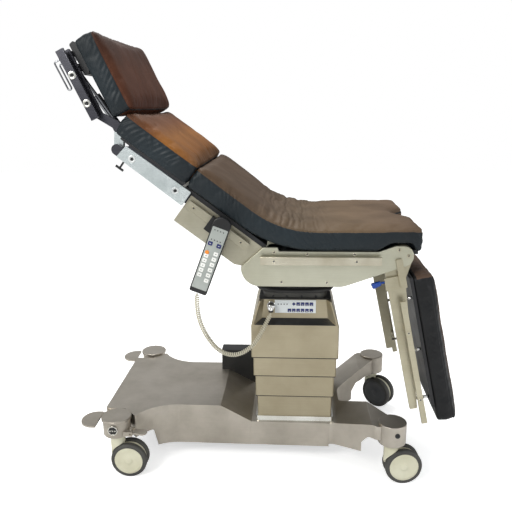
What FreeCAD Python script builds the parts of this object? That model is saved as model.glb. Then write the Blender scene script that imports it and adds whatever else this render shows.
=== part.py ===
# Operating table with a telescopic column, a sectioned top and a hand control.
# Millimetres. X runs from the head end to the leg end, Y across the table, Z up from the floor.
# The origin is on the floor under the middle of the column.
# Every top section is drawn lying flat, in line with the seat, and is then turned to its rest angle.
import FreeCAD, Part
import math
import os

V = FreeCAD.Vector
OUT = "parts"

# Fits
CLEAR = 0.3            # gap between a piece and the seat that carries it
RUN = 0.05             # radial running clearance of a shaft in its bore

# Rest angles of the sections, in degrees
BACK_ANGLE = 37.0      # lower and upper back, above the seat
HEAD_ANGLE = 28.0      # head section, above the back
LEG_ANGLE = 77.8       # leg sections, below the seat

# Table top
PAD_WIDTH = 540.0
PAD_TOP = 845.0        # height of the seat pad's top above the floor
PAD_EDGE = 14.0        # rounding of the pads' edges
SEAT_PAD_THICK = 75.0
SEAT_PAD_END = 378.0
BEND_R = 350.0         # middle of the cushion where it bends up to the back
BOARD_THICK = 12.0
CUT_OUT_WIDTH = 190.0  # scoop in the leg end of the seat pad
CUT_OUT_DEPTH = 47.0

# Side plates of the seat
PLATE_INSET = 8.0      # from the pads' side to the plate's outer face
PLATE_OUTER = PAD_WIDTH / 2.0 - PLATE_INSET
PLATE_THICK = 10.0
PLATE_BOTTOM = 660.0
PLATE_HEAD_X = -166.0
PLATE_NECK_Z = 722.0   # where the sloping head edge begins
PLATE_LEDGE = (-97.0, 783.0)
PLATE_LOW_R = 58.0
HUMP_START_X = 250.0
TAIL_START_X = 145.0
LEDGE_START_X = -52.0
STRIP_Z = PAD_TOP - SEAT_PAD_THICK + 1.0   # top of the plate along the pad

# Hinges of the top
BACK_HINGE = (-76.0, 735.0)
LEG_HINGE = (321.0, 757.0)
LEG_EYE_R = 32.0
HINGE_PIN_R = 10.0
UPPER_HINGE_S = 296.0  # from the lower back hinge, along the back
BLOCK_HINGE_S = 568.0  # lower pivot of the head hinge block
HEAD_HINGE = (600.0, 52.0)
SMALL_PIN_R = 7.0
PAD_MIDDLE = PAD_TOP - SEAT_PAD_THICK / 2.0
BEND_REACH = (PAD_MIDDLE - BACK_HINGE[1] + BEND_R) * math.tan(math.radians(BACK_ANGLE / 2.0))
SEAT_PAD_START = BACK_HINGE[0] + BEND_REACH

# Accessory rails
RAIL_HEIGHT = 25.0
RAIL_THICK = 10.0
RAIL_SPACER = 13.0
SPACER_R = 7.0
SEAT_RAIL = (-105.0, 256.0)
SEAT_RAIL_Z = 746.0
SEAT_SPACERS = (-64.0, 185.0)

# Lower back
BOX_OUTER = PLATE_OUTER - PLATE_THICK - 1.5
BOX_THICK = 28.0
BOX_TOP = 22.0
BOX_BOTTOM = -73.0
BOX_END = 312.0
BOX_HEEL_S = 85.0
KNUCKLE_R = 22.0
BACK_RAIL = (84.0, 305.0)
BACK_RAIL_GAP = 13.5
LOWER_BOARD = (40.0, 340.0)
LOWER_PAD = (BEND_REACH, 340.0)
LOWER_PAD_BOTTOM = 35.0
BACK_PAD_TOP = 110.0

# Upper back
UPPER_PAD = (343.0, 580.0)
UPPER_BOARD = (35.0, 47.0)
UPPER_PLATE = (317.0, 550.0)
UPPER_PLATE_N = (-19.0, 31.0)
UPPER_BAR = (352.0, 584.0)
UPPER_BAR_Y = (PLATE_OUTER - 26.0, PLATE_OUTER - PLATE_THICK)
EAR_Y = (PLATE_OUTER - 56.0, PLATE_OUTER - 42.0)
EAR_R = 16.0
KNOB_S = 530.0

# Head section, measured from its hinge
BLOCK_Y = (PLATE_OUTER - 50.0, PLATE_OUTER - 30.0)
BLOCK_R = 14.0
HEAD_PAD = (30.0, 267.0)
HEAD_PAD_N = (8.0, 77.0)
HEAD_RAIL = (50.0, 261.0)
HEAD_RAIL_N = -39.5
HEAD_RAIL_Y = (PLATE_OUTER, PLATE_OUTER + RAIL_THICK)
HEAD_BAR = (52.0, 258.0)
HEAD_BAR_N = -33.0
HEAD_BAR_Y = (PLATE_OUTER - 28.0, PLATE_OUTER - 18.0)
HEAD_SPACERS = (98.6, 184.5)
STRUT_R = 11.0
STRUT_Y = HEAD_BAR_Y[0] - 34.0
STRUT_BODY = 118.0
HEAD_BRIDGES = ((190.0, 214.0), (236.0, 254.0))
LOOP_R = 2.5

# Leg sections, measured from their hinge
LEG_PAD = (62.0, 562.0)
LEG_PAD_N = (17.0, 77.0)
LEG_GAP = 3.0          # from the middle of the table to a leg pad's edge
LEG_BAR_Y = (PLATE_OUTER - 24.0, PLATE_OUTER - 12.0)
LEG_BAR_END = 508.0
LEG_RAIL = (132.0, 545.0)
LEG_RAIL_N = -25.5
LEG_RAIL_HEIGHT = 18.0
LEG_RAIL_Y = (PLATE_OUTER + RAIL_SPACER, PLATE_OUTER + RAIL_SPACER + RAIL_THICK)
LEG_SPACERS = (235.0, 462.0)
LEG_PINS = (138.0, 310.0, 476.0)
LEG_PIN_R = 4.5
LEVER_S = 74.0
LEVER_STEM_R = 3.5

# Column
TIER_HALF = ((126.0, 165.0), (132.0, 170.0), (138.0, 175.0), (144.0, 180.0))
TIER_BOTTOM = (150.0, 244.0, 320.0, 388.0)
TIER_TOP = (352.0, 405.0, 457.0, 497.0)
TIER_WALL = 2.0
GLIDE_HEIGHT = 18.0
TRIM_HEIGHT = (148.0, 168.0)
TRIM_OUT = 5.0
CYLINDER_R = 42.0
PISTON_R = 30.0
CYLINDER_Z = (62.0, 408.0)
PISTON_BOTTOM = 160.0

# Control console on top of the column
CONSOLE_TOP = 585.0
CONSOLE_TOP_HALF = 118.0
RECESS_FRONT = ((136.0, 503.0), (111.0, 588.0))   # half width and height, at the foot and at the top
RECESS_BACK = ((108.0, 520.0), (101.0, 588.0))
RECESS_DEPTH = 22.0
KEY_PANEL_X = (-66.0, 68.0)
KEY_PANEL_Z = (539.0, 583.0)
PANEL_THICK = 3.0
SOCKET = (-78.0, 566.0)
SOCKET_R = 12.0

# Tilting gear
PIVOT_Z = 650.0
PIVOT_R = 12.0
YOKE = (40.0, 60.0, 22.0)
EAR_X = (50.0, 62.0)
LUG_Y = (68.0, 80.0)
SEAT_BEAM_Z = (701.0, 745.0)
BELLOWS_HALF = (90.0, 146.0)
BELLOWS_FLARE = 2.6

# Base
HEAD_EDGE_X = -642.0
SEAM_HEAD_X = -150.0
SEAM_FOOT_X = 117.0
NECK_HALF = 172.0
HEAD_EDGE_HALF = 205.0
DECK_Z = 148.0         # low deck round the column
TOP_Z = 205.0          # top of the head plate and of the arms
SLOPE_HEAD = (-252.0, -147.0)
SLOPE_FOOT = (123.0, 248.0)
SKIRT_Z = 60.0
COVER_WALL = 2.5
CHASSIS_Z = (70.0, 130.0)
ARM_Z = (124.0, 144.0) # steel arms inside the cover
ARM_RISER_X = (212.0, 226.0)   # here the arms step up over the swivelling wheels
ARM_HIGH_Z = (160.0, 184.0)
ARM_SKIRT = (219.0, 94.0)      # lower corner of the arms' skirt
ARM_ARCH_Z = 158.0
HEAD_BEAM_Z = (153.0, 170.0)
CONTROL_BOX = ((-281.0, -152.0), (112.0, 168.0), 286.0)   # x, y, top

# Casters
HEAD_CASTER = (-587.0, 268.0)
FOOT_CASTER = (314.0, 266.0)
COLLAR_R = 45.0
COLLAR_Z = (152.0, 205.0)
FOOT_COLLAR_BOTTOM = 142.0
CAP_R = {"head": 49.0, "foot": 45.0}
CAP_THICK = 8.0
WHEEL_R = 60.0
WHEEL_THICK = 20.0
WHEEL_GAP = 7.5        # from the middle of a twin wheel to its inner face
TRAIL = 38.0
STEM_R = 11.0
NECK_R = 24.0
AXLE_R = 5.0
SWIVEL = {"head_near": 0.0, "head_far": 12.0, "foot_near": 6.0, "foot_far": -38.0}

# Pedals
PEDAL_SHAFT = (-587.0, 184.0)
PEDAL_SHAFT_R = 8.0
PADDLE_X = (-708.0, -650.0)
PADDLE_Y = (208.0, 304.0)
PADDLE_Z = (186.0, 192.0)
PADDLE_ROUND = 46.0

# Hand control and its curly cord
HANDSET_TOP = (-207.0, 881.0)
HANDSET_BOTTOM = (-294.0, 654.0)
HANDSET_WIDTH = 54.0
HANDSET_Y = (-PLATE_OUTER - 52.0, -PLATE_OUTER - 26.0)
HANDSET_MIDDLE = 0.5 * (HANDSET_Y[0] + HANDSET_Y[1])
CORD_D = 15.0
CORD_END = (-78.0, -184.0, 545.0)
CORD_ROUTE = [
    (-297.0, HANDSET_MIDDLE, 649.0), (-299.0, HANDSET_MIDDLE, 600.0), (-291.0, -296.0, 550.0), (-272.0, -287.0, 501.0),
    (-243.0, -274.0, 454.0), (-206.0, -258.0, 428.0), (-165.0, -241.0, 429.0), (-129.0, -224.0, 455.0),
    (-103.0, -207.0, 495.0), CORD_END,
]


def xz(y):
    """Places outline points in an upright plane along the table."""
    return lambda u, v: V(u, y, v)


def xy(z):
    """Places outline points in a level plane."""
    return lambda u, v: V(u, v, z)


def yz(x):
    """Places outline points in an upright plane across the table."""
    return lambda u, v: V(x, u, v)


def outline(corners, place):
    """A flat face whose corners are (u, v) or (u, v, radius of the rounding)."""
    flat = [FreeCAD.Base.Vector2d(c[0], c[1]) for c in corners]
    radii = [c[2] if len(c) > 2 else 0.0 for c in corners]
    ends = []
    for i, here in enumerate(flat):
        before = flat[i - 1]
        after = flat[(i + 1) % len(flat)]
        ends.append(corner_points(before, here, after, radii[i]))
    edges = []
    for i, (start, middle, stop) in enumerate(ends):
        if middle is not None:
            edges.append(Part.Arc(place(*start), place(*middle), place(*stop)).toShape())
        following = ends[(i + 1) % len(ends)][0]
        if math.hypot(following[0] - stop[0], following[1] - stop[1]) > 1e-6:
            edges.append(Part.makeLine(place(*stop), place(*following)))
    return Part.Face(Part.Wire(edges))


def corner_points(before, here, after, radius):
    """Start, middle and end of the arc that rounds one corner."""
    if radius <= 0.0:
        return (here.x, here.y), None, (here.x, here.y)
    to_before = (before.x - here.x, before.y - here.y)
    to_after = (after.x - here.x, after.y - here.y)
    length_a = math.hypot(*to_before)
    length_b = math.hypot(*to_after)
    a = (to_before[0] / length_a, to_before[1] / length_a)
    b = (to_after[0] / length_b, to_after[1] / length_b)
    half = 0.5 * math.acos(max(-1.0, min(1.0, a[0] * b[0] + a[1] * b[1])))
    reach = radius / math.tan(half)
    inward = (a[0] + b[0], a[1] + b[1])
    size = math.hypot(*inward)
    centre_at = radius / math.sin(half)
    deep = centre_at - radius
    start = (here.x + a[0] * reach, here.y + a[1] * reach)
    middle = (here.x + inward[0] / size * deep, here.y + inward[1] / size * deep)
    stop = (here.x + b[0] * reach, here.y + b[1] * reach)
    return start, middle, stop


def plate(corners, y0, y1):
    """A plate with its outline in XZ, between two Y faces."""
    return outline(corners, xz(y0)).extrude(V(0, y1 - y0, 0))


def slab(corners, z0, z1):
    """A plate with its outline in XY, between two heights."""
    return outline(corners, xy(z0)).extrude(V(0, 0, z1 - z0))


def block(x, y, z, radius=0.0):
    """A box between pairs of limits, its upright edges rounded."""
    corners = [(x[0], y[0], radius), (x[1], y[0], radius), (x[1], y[1], radius), (x[0], y[1], radius)]
    return slab(corners, z[0], z[1])


def rod(start, end, radius):
    """A round bar from one point to another."""
    along = V(*end) - V(*start)
    return Part.makeCylinder(radius, along.Length, V(*start), along)


def cross_rod(x, z, y0, y1, radius):
    """A round bar across the table."""
    return Part.makeCylinder(radius, y1 - y0, V(x, y0, z), V(0, 1, 0))


def mirrored(shape):
    return shape.mirror(V(0, 0, 0), V(0, 1, 0))


def fuse(first, *others):
    joined = first
    for other in others:
        joined = joined.fuse(other)
    return joined.removeSplitter()


def pair(shape):
    """A piece and its twin on the other side of the table."""
    return [shape, mirrored(shape)]


def soften(shape, radius, keep):
    """Rounds the edges whose middle the test keeps."""
    chosen = [e for e in shape.Edges if keep(e.CenterOfMass)]
    return shape.makeFillet(radius, chosen) if chosen else shape


def save(name, solids):
    shapes = solids if isinstance(solids, list) else [solids]
    shape = shapes[0] if len(shapes) == 1 else Part.makeCompound(shapes)
    shape.exportStep(os.path.join(OUT, name + ".step"))


# Frames of the hinged sections

def along_back(s, n):
    """A point of the flat back: s from the hinge towards the head, n above the hinge."""
    return BACK_HINGE[0] - s, BACK_HINGE[1] + n


def along_leg(s, n):
    """A point of the flat leg: s from the hinge towards the foot, n above the hinge."""
    return LEG_HINGE[0] + s, LEG_HINGE[1] + n


def along_head(s, n):
    """A point of the flat head section, from its own hinge."""
    return along_back(HEAD_HINGE[0] + s, HEAD_HINGE[1] + n)


def mapped(corners, place):
    """Outline corners carried into a section's frame."""
    return [place(c[0], c[1]) + tuple(c[2:]) for c in corners]


def turned(shape, hinge, angle):
    """A section turned about a hinge that runs across the table; positive lifts the head end."""
    copy = shape.copy()
    copy.rotate(V(hinge[0], 0, hinge[1]), V(0, 1, 0), angle)
    return copy


def raise_back(solids):
    return [turned(s, BACK_HINGE, BACK_ANGLE) for s in solids]


def raise_head(solids):
    hinge = along_back(*HEAD_HINGE)
    return raise_back([turned(s, hinge, HEAD_ANGLE) for s in solids])


def drop_leg(solids):
    return [turned(s, LEG_HINGE, LEG_ANGLE) for s in solids]


def section_box(place, s, n, y, radius=0.0):
    """A block of a flat section, its side outline rounded."""
    corners = [(s[0], n[0], radius), (s[1], n[0], radius), (s[1], n[1], radius), (s[0], n[1], radius)]
    return plate(mapped(corners, place), y[0], y[1])


def pad(place, s, n, y):
    """A soft pad with every edge rounded."""
    solid = section_box(place, s, n, y)
    return solid.makeFillet(PAD_EDGE, solid.Edges)


# Base

def base_plan(grow):
    """Plan of the base covers, seen from above; grow moves the walls out or in."""
    neck = NECK_HALF + grow
    arm_out = 290.0 + grow
    arm_in = 222.0 - grow
    head_x = HEAD_EDGE_X - grow
    collar_x = HEAD_CASTER[0] + COLLAR_R + CLEAR + 12.0
    foot_x = FOOT_CASTER[0] - grow * 0.2
    half = [
        (head_x, HEAD_EDGE_HALF + grow, 6.0),
        (HEAD_CASTER[0] - COLLAR_R - 4.0, HEAD_EDGE_HALF + grow, 0.0),
        (HEAD_CASTER[0] + 12.0, HEAD_EDGE_HALF + 2.0 + grow, 0.0),
        (collar_x, HEAD_CASTER[1] - 14.0 + grow, 0.0),
        (-478.0, neck, 150.0),
        (SEAM_FOOT_X + 10.0, neck + 6.0, 40.0),
        (262.0, arm_out, 30.0),
        (foot_x, arm_out, 0.0),
        (foot_x, arm_in, 20.0),
        (252.0, 128.0 - grow, 40.0),
        (158.0 + grow, 46.0 - grow, 40.0),
    ]
    other = [(x, -y, r) for x, y, r in reversed(half)]
    return half + other


def base_side(drop):
    """Side view of what lies under the covers' top surface."""
    top = TOP_Z - drop
    deck = DECK_Z - drop
    return [
        (HEAD_EDGE_X - 60.0, SKIRT_Z - 20.0), (HEAD_EDGE_X - 60.0, top), (SLOPE_HEAD[0], top, 6.0),
        (SLOPE_HEAD[1], deck, 6.0), (SLOPE_FOOT[0], deck, 6.0), (SLOPE_FOOT[1], top, 6.0),
        (FOOT_CASTER[0] + 90.0, top), (FOOT_CASTER[0] + 90.0, SKIRT_Z - 20.0),
    ]


def cover_shell():
    """The whole top cover of the base: a thin skin with skirts, open below."""
    outer = slab(base_plan(0.0), SKIRT_Z, TOP_Z).common(plate(base_side(0.0), -400.0, 400.0))
    inner = slab(base_plan(-COVER_WALL), SKIRT_Z - 5.0, TOP_Z).common(plate(base_side(COVER_WALL), -400.0, 400.0))
    shell = outer.cut(inner)
    for x, y in (HEAD_CASTER, FOOT_CASTER):
        for side in (1.0, -1.0):
            hole = Part.makeCylinder(COLLAR_R + CLEAR, 200.0, V(x, side * y, 20.0))
            shell = shell.cut(hole)
    return shell


def skirt_openings():
    """Cut under the skirts: raised at both ends so that the casters can swivel."""
    head_x = HEAD_CASTER[0] + TRAIL + WHEEL_R + 6.0
    low = SKIRT_Z - 10.0
    high = 2.0 * WHEEL_R + 4.0
    skirt_x, skirt_z = ARM_SKIRT
    end_x = FOOT_CASTER[0] + 120.0
    end_z = FOOT_COLLAR_BOTTOM + 2.0
    foot = [(SEAM_FOOT_X + 1.0, low), (SEAM_FOOT_X + 1.0, SKIRT_Z + 10.0), (skirt_x, skirt_z, 3.0),
            (skirt_x, high + 4.0, 6.0), (skirt_x + 19.0, ARM_ARCH_Z, 14.0), (skirt_x + 63.0, ARM_ARCH_Z, 14.0),
            (skirt_x + 81.0, end_z), (end_x, end_z), (end_x, low)]
    head = [(head_x + 14.0, low), (head_x, high, 6.0), (HEAD_CASTER[0] - 30.0, high), (HEAD_CASTER[0] - 40.0, 150.0),
            (HEAD_EDGE_X - 80.0, 150.0), (HEAD_EDGE_X - 80.0, low)]
    return plate(foot, -400.0, 400.0).fuse(plate(head, -400.0, 400.0))


def base_covers():
    shell = cover_shell().cut(skirt_openings()).cut(brake_bore()).cut(head_cross_beam(CLEAR))
    wide = (-420.0, 420.0)
    high = (0.0, 260.0)
    well_x, well_y = TIER_HALF[0]
    well = block((-well_x - CLEAR, well_x + CLEAR), (-well_y - CLEAR, well_y + CLEAR), (SKIRT_Z, high[1]))
    shell = shell.cut(well)
    head = shell.common(block((HEAD_EDGE_X - 80.0, SEAM_HEAD_X), wide, high))
    middle = shell.common(block((SEAM_HEAD_X, SEAM_FOOT_X), wide, high))
    arms = shell.common(block((SEAM_FOOT_X, FOOT_CASTER[0] + 120.0), wide, high))
    save("base_cover_head", head)
    save("base_cover_middle", middle)
    save("base_cover_arms", arms)


def chassis():
    """Steel frame under the covers: two long beams, cross beams and the arms to the casters."""
    low, high = CHASSIS_Z
    beam = 46.0
    long_y = (96.0, 96.0 + beam)
    frame = block((-470.0, 172.0), long_y, (low, high))
    frame = frame.fuse(mirrored(frame))
    bed = block((-TIER_HALF[0][0], TIER_HALF[0][0]), (-long_y[1], long_y[1]), (low - 8.0, low))
    tie = block((-470.0, -424.0), (-long_y[1], long_y[1]), (low + 45.0, high + 16.0))
    reach_in = 130.0
    head_tie = block((HEAD_CASTER[0] - 22.0, -424.0), (-reach_in, reach_in), (high + 16.0, high + 40.0))
    head_beam = head_cross_beam(0.0)
    frame = frame.fuse(bed).fuse(tie).fuse(head_tie).fuse(head_beam)
    for side in (1.0, -1.0):
        arm = [(110.0, side * long_y[0]), (110.0, side * long_y[1]), (FOOT_CASTER[0] - 12.0, side * 282.0),
               (FOOT_CASTER[0] - 12.0, side * 244.0), (172.0, side * long_y[0])]
        side_view = [(100.0, ARM_Z[0]), (ARM_RISER_X[1], ARM_Z[0]), (ARM_RISER_X[1], ARM_HIGH_Z[0]),
                     (FOOT_CASTER[0], ARM_HIGH_Z[0]), (FOOT_CASTER[0], ARM_HIGH_Z[1]), (ARM_RISER_X[0], ARM_HIGH_Z[1]),
                     (ARM_RISER_X[0], ARM_Z[1]), (100.0, ARM_Z[1])]
        frame = frame.fuse(slab(arm, ARM_Z[0], ARM_HIGH_Z[1]).common(plate(side_view, -400.0, 400.0)))
        post = block((110.0, 172.0), sorted((side * long_y[0], side * long_y[1])), (low, ARM_Z[1]))
        frame = frame.fuse(post)
    for x, y in (HEAD_CASTER, FOOT_CASTER):
        for side in (1.0, -1.0):
            frame = frame.cut(Part.makeCylinder(COLLAR_R + CLEAR, 200.0, V(x, side * y, 20.0)))
    return frame.removeSplitter()


def brake_bore():
    return cross_rod(PEDAL_SHAFT[0], PEDAL_SHAFT[1], -360.0, 360.0, PEDAL_SHAFT_R + 2.0)


def head_cross_beam(grow):
    """Beam between the two head casters; grown, it is the hole it passes through the cover by."""
    x = HEAD_CASTER[0]
    low, high = HEAD_BEAM_Z
    return block((x - 22.0 - grow, x + 22.0 + grow), (-HEAD_CASTER[1], HEAD_CASTER[1]), (low - grow, high + grow))


def collars():
    """Round housings that hold the caster stems; the head pair also carries the brake shaft."""
    made = []
    for x, y in (HEAD_CASTER, FOOT_CASTER):
        neck_top, high = COLLAR_Z
        low = neck_top if x < 0 else FOOT_COLLAR_BOTTOM
        for side in (1.0, -1.0):
            body = Part.makeCylinder(COLLAR_R, high - low, V(x, side * y, low))
            body = soften(body, 3.0, lambda c: c.z < low + 1.0)
            if low < neck_top:
                body = body.cut(Part.makeCylinder(NECK_R + 1.0, neck_top - low + 1.0, V(x, side * y, low - 1.0)))
            stem_hole = Part.makeCylinder(STEM_R + RUN, 18.0, V(x, side * y, neck_top - 1.0))
            body = body.cut(stem_hole)
            if x < 0:
                shaft_hole = cross_rod(PEDAL_SHAFT[0], PEDAL_SHAFT[1], -360.0, 360.0, PEDAL_SHAFT_R + RUN)
                body = body.cut(shaft_hole)
            made.append(body)
    return made


def caps():
    """Flat round lids on the four collars."""
    made = []
    for end, (x, y) in (("head", HEAD_CASTER), ("foot", FOOT_CASTER)):
        for side in (1.0, -1.0):
            lid = Part.makeCylinder(CAP_R[end], CAP_THICK, V(x, side * y, TOP_Z))
            made.append(soften(lid, 2.5, lambda c: c.z > TOP_Z + CAP_THICK - 1.0))
    return made


def control_box():
    """Power unit case that stands on the head slope beside the column."""
    case = block(CONTROL_BOX[0], CONTROL_BOX[1], (DECK_Z, CONTROL_BOX[2]), 5.0)
    return case.cut(plate(base_side(0.0), -400.0, 400.0))


def base():
    base_covers()
    save("base_chassis", [chassis(), lift_cylinder()])
    save("caster_collars", collars() + caps() + lobe_bracket())
    save("control_box", control_box())


# Casters

def swivel_place(name):
    end, side = name.split("_")
    x, y = HEAD_CASTER if end == "head" else FOOT_CASTER
    return x, (-y if side == "near" else y), SWIVEL[name]


def swivelled(shape, name):
    """A caster piece drawn under a stem at the origin, moved to its corner and turned."""
    x, y, angle = swivel_place(name)
    copy = shape.copy()
    copy.rotate(V(0, 0, 0), V(0, 0, 1), angle)
    copy.translate(V(x, y, 0))
    return copy


def caster_housing():
    """Stem, neck and the web between the twin wheels."""
    low = COLLAR_Z[0]
    stem = Part.makeCylinder(STEM_R, 16.0 + CLEAR, V(0, 0, low - CLEAR))
    neck = Part.makeCylinder(NECK_R, low - CLEAR - 78.0, V(0, 0, 78.0))
    room = cross_rod(TRAIL, WHEEL_R, -40.0, 40.0, WHEEL_R + 2.5)
    neck = neck.cut(room)
    web = cross_rod(TRAIL, WHEEL_R, -WHEEL_GAP + 0.8, WHEEL_GAP - 0.8, WHEEL_R - 7.0)
    spine = block((-NECK_R + 1.0, 20.0), (-WHEEL_GAP + 0.8, WHEEL_GAP - 0.8), (70.0, 120.0))
    reach = WHEEL_GAP + WHEEL_THICK - 4.0
    axle = cross_rod(TRAIL, WHEEL_R, -reach, reach, AXLE_R)
    return fuse(neck, stem, web, spine, axle)


def caster_wheels():
    """Two wheels on one axle, each a grey tread round a dished cream disc."""
    inner = WHEEL_GAP
    outer = WHEEL_GAP + WHEEL_THICK
    bevel = 4.0
    profile = [(AXLE_R + RUN, inner), (WHEEL_R - bevel, inner, 2.0), (WHEEL_R, inner + bevel, 2.0),
               (WHEEL_R, outer - bevel, 2.0), (WHEEL_R - bevel, outer, 2.0), (WHEEL_R - 11.0, outer),
               (WHEEL_R - 14.0, outer - 2.5), (9.0, outer - 0.8), (0.0, outer - 0.8), (0.0, outer - 3.5),
               (AXLE_R + RUN, outer - 3.5)]
    face = outline(profile, lambda u, v: V(TRAIL + u, v, WHEEL_R))
    wheel = face.revolve(V(TRAIL, 0, WHEEL_R), V(0, 1, 0), 360.0)
    return [wheel, mirrored(wheel)]


def casters():
    for name in SWIVEL:
        save("caster_housing_" + name, swivelled(caster_housing(), name))
        save("caster_wheels_" + name, [swivelled(w, name) for w in caster_wheels()])


def brake_pedals():
    """Cross shaft with a paddle at each head corner."""
    x, z = PEDAL_SHAFT
    reach = HEAD_CASTER[1] + COLLAR_R + 3.0
    shaft = cross_rod(x, z, -reach, reach, PEDAL_SHAFT_R)
    made = shaft
    for side in (1.0, -1.0):
        y0, y1 = sorted((side * PADDLE_Y[0], side * PADDLE_Y[1]))
        paddle = slab([(PADDLE_X[0], y0, PADDLE_ROUND), (PADDLE_X[1], y0, 4.0), (PADDLE_X[1], y1, 4.0),
                       (PADDLE_X[0], y1, PADDLE_ROUND)], PADDLE_Z[0], PADDLE_Z[1])
        inner = side * (HEAD_CASTER[1] - COLLAR_R - 8.0)
        arm_y = sorted((inner - 3.5, inner + 3.5))
        arm = plate([(PADDLE_X[1] - 6.0, PADDLE_Z[0]), (x + 10.0, z - 10.0, 6.0), (x + 10.0, z + 10.0, 6.0),
                     (PADDLE_X[1] - 6.0, PADDLE_Z[1])], arm_y[0], arm_y[1])
        made = made.fuse(paddle).fuse(arm)
    return made.removeSplitter()


def lobe_pedal():
    """Small release pedal on its own pin beside the near head caster."""
    x = HEAD_CASTER[0] + COLLAR_R
    y = -HEAD_CASTER[1]
    pin = cross_rod(x + 9.0, 166.0, y - 34.0, y - 6.0, 4.0)
    blade = slab([(x + 6.0, y - 32.0, 4.0), (x + 20.0, y - 32.0), (x + 58.0, y - 44.0, 14.0), (x + 62.0, y - 8.0, 14.0),
                  (x + 6.0, y - 8.0, 4.0)], 163.5, 168.5)
    return fuse(blade, pin)


def lobe_bracket():
    """Two ears on the collar that hold the release pedal's pin."""
    x = HEAD_CASTER[0] + COLLAR_R
    y = -HEAD_CASTER[1]
    ears = []
    for y0, y1 in ((y - 38.0, y - 32.6), (y - 7.4, y - 2.0)):
        root = x - 4.0 if y1 > y - 10.0 else x - 16.0
        ear = plate([(root, 158.0), (x + 16.0, 158.0, 5.0), (x + 16.0, 174.0, 5.0), (root, 174.0)], y0, y1)
        ear = ear.cut(cross_rod(x + 9.0, 166.0, y - 60.0, y + 20.0, 4.0 + RUN))
        collar = Part.makeCylinder(COLLAR_R, 80.0, V(HEAD_CASTER[0], y, 140.0))
        ears.append(ear.cut(collar))
    return ears


def pedals():
    save("brake_pedals", brake_pedals())
    save("release_pedal", lobe_pedal())


# Column

def sleeve(index):
    """One telescoping sleeve; a glide band at its foot runs on the sleeve inside it."""
    x, y = TIER_HALF[index]
    low, high = TIER_BOTTOM[index], TIER_TOP[index]
    edge = 5.0
    tube = block((-x, x), (-y, y), (low, high), edge)
    bore = block((-x + TIER_WALL, x - TIER_WALL), (-y + TIER_WALL, y - TIER_WALL), (low - 1.0, high + 1.0),
                 edge - TIER_WALL)
    tube = tube.cut(bore)
    if index == 0:
        return tube
    inner_x, inner_y = TIER_HALF[index - 1]
    band = block((-x + 1.0, x - 1.0), (-y + 1.0, y - 1.0), (low + 2.0, low + GLIDE_HEIGHT), edge - 1.0)
    track = block((-inner_x - CLEAR, inner_x + CLEAR), (-inner_y - CLEAR, inner_y + CLEAR), (low, high), edge)
    return fuse(tube, band.cut(track))


def lift_cylinder():
    tube = Part.makeCylinder(CYLINDER_R, CYLINDER_Z[1] - CYLINDER_Z[0], V(0, 0, CYLINDER_Z[0]))
    bore = Part.makeCylinder(PISTON_R + RUN, CYLINDER_Z[1], V(0, 0, CYLINDER_Z[0] + 12.0))
    return tube.cut(bore).cut(block((-300, 300), (-300, 300), (0.0, CHASSIS_Z[0])))


def console():
    """Housing on the top sleeve, wider at the foot, with a recess for the keys."""
    low, high = TIER_TOP[3], CONSOLE_TOP
    x, y = TIER_HALF[3]
    body = plate([(-x, low), (x, low), (CONSOLE_TOP_HALF, high, 4.0), (-CONSOLE_TOP_HALF, high, 4.0)], -y, y)
    body = soften(body, 4.0, lambda c: abs(abs(c.x) - 0.5 * (x + CONSOLE_TOP_HALF)) < 8.0)
    return fuse(body.cut(console_recess()), *pivot_ears())


def console_recess():
    """Space of the recess: wide at the front, with sloping sides and a sloping sill."""
    face = -TIER_HALF[3][1]
    rims = []
    for (foot_half, foot_z), (top_half, top_z), y in (RECESS_FRONT + (face,), RECESS_BACK + (face + RECESS_DEPTH,)):
        corners = [(-foot_half, foot_z), (foot_half, foot_z), (top_half, top_z), (-top_half, top_z)]
        rims.append(outline(corners, xz(y)).OuterWire)
    return Part.makeLoft(rims, True, True)


def pivot_ears():
    """Two ears on the console that carry the side-tilt pin."""
    made = []
    for side in (1.0, -1.0):
        x0, x1 = sorted((side * EAR_X[0], side * EAR_X[1]))
        corners = [(-26.0, CONSOLE_TOP), (26.0, CONSOLE_TOP), (22.0, PIVOT_Z + 22.0, 21.9),
                   (-22.0, PIVOT_Z + 22.0, 21.9)]
        ear = outline(corners, yz(x0)).extrude(V(x1 - x0, 0, 0))
        hole = rod((x0 - 1.0, 0, PIVOT_Z), (x1 + 1.0, 0, PIVOT_Z), PIVOT_R + RUN)
        made.append(ear.cut(hole))
    return made


def console_pieces():
    y = -TIER_HALF[3][1] + RECESS_DEPTH
    key_panel = block(KEY_PANEL_X, (y - PANEL_THICK, y), KEY_PANEL_Z)
    socket = cross_rod(SOCKET[0], SOCKET[1], y - 8.0, y, SOCKET_R)
    socket = soften(socket, 1.5, lambda c: c.y < y - 7.0)
    return key_panel, socket


def cord_plug():
    """Elbow plug: a round body in the socket and a short neck that points down to the cord."""
    face = -TIER_HALF[3][1] + RECESS_DEPTH - 8.0
    body = cross_rod(SOCKET[0], SOCKET[1], CORD_END[1] - 9.0, face, 10.0)
    body = soften(body, 2.0, lambda c: c.y < CORD_END[1] - 8.0)
    neck = rod((CORD_END[0], CORD_END[1], SOCKET[1]), (CORD_END[0], CORD_END[1], CORD_END[2] + 4.6), 8.0)
    return fuse(body, neck)


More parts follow.
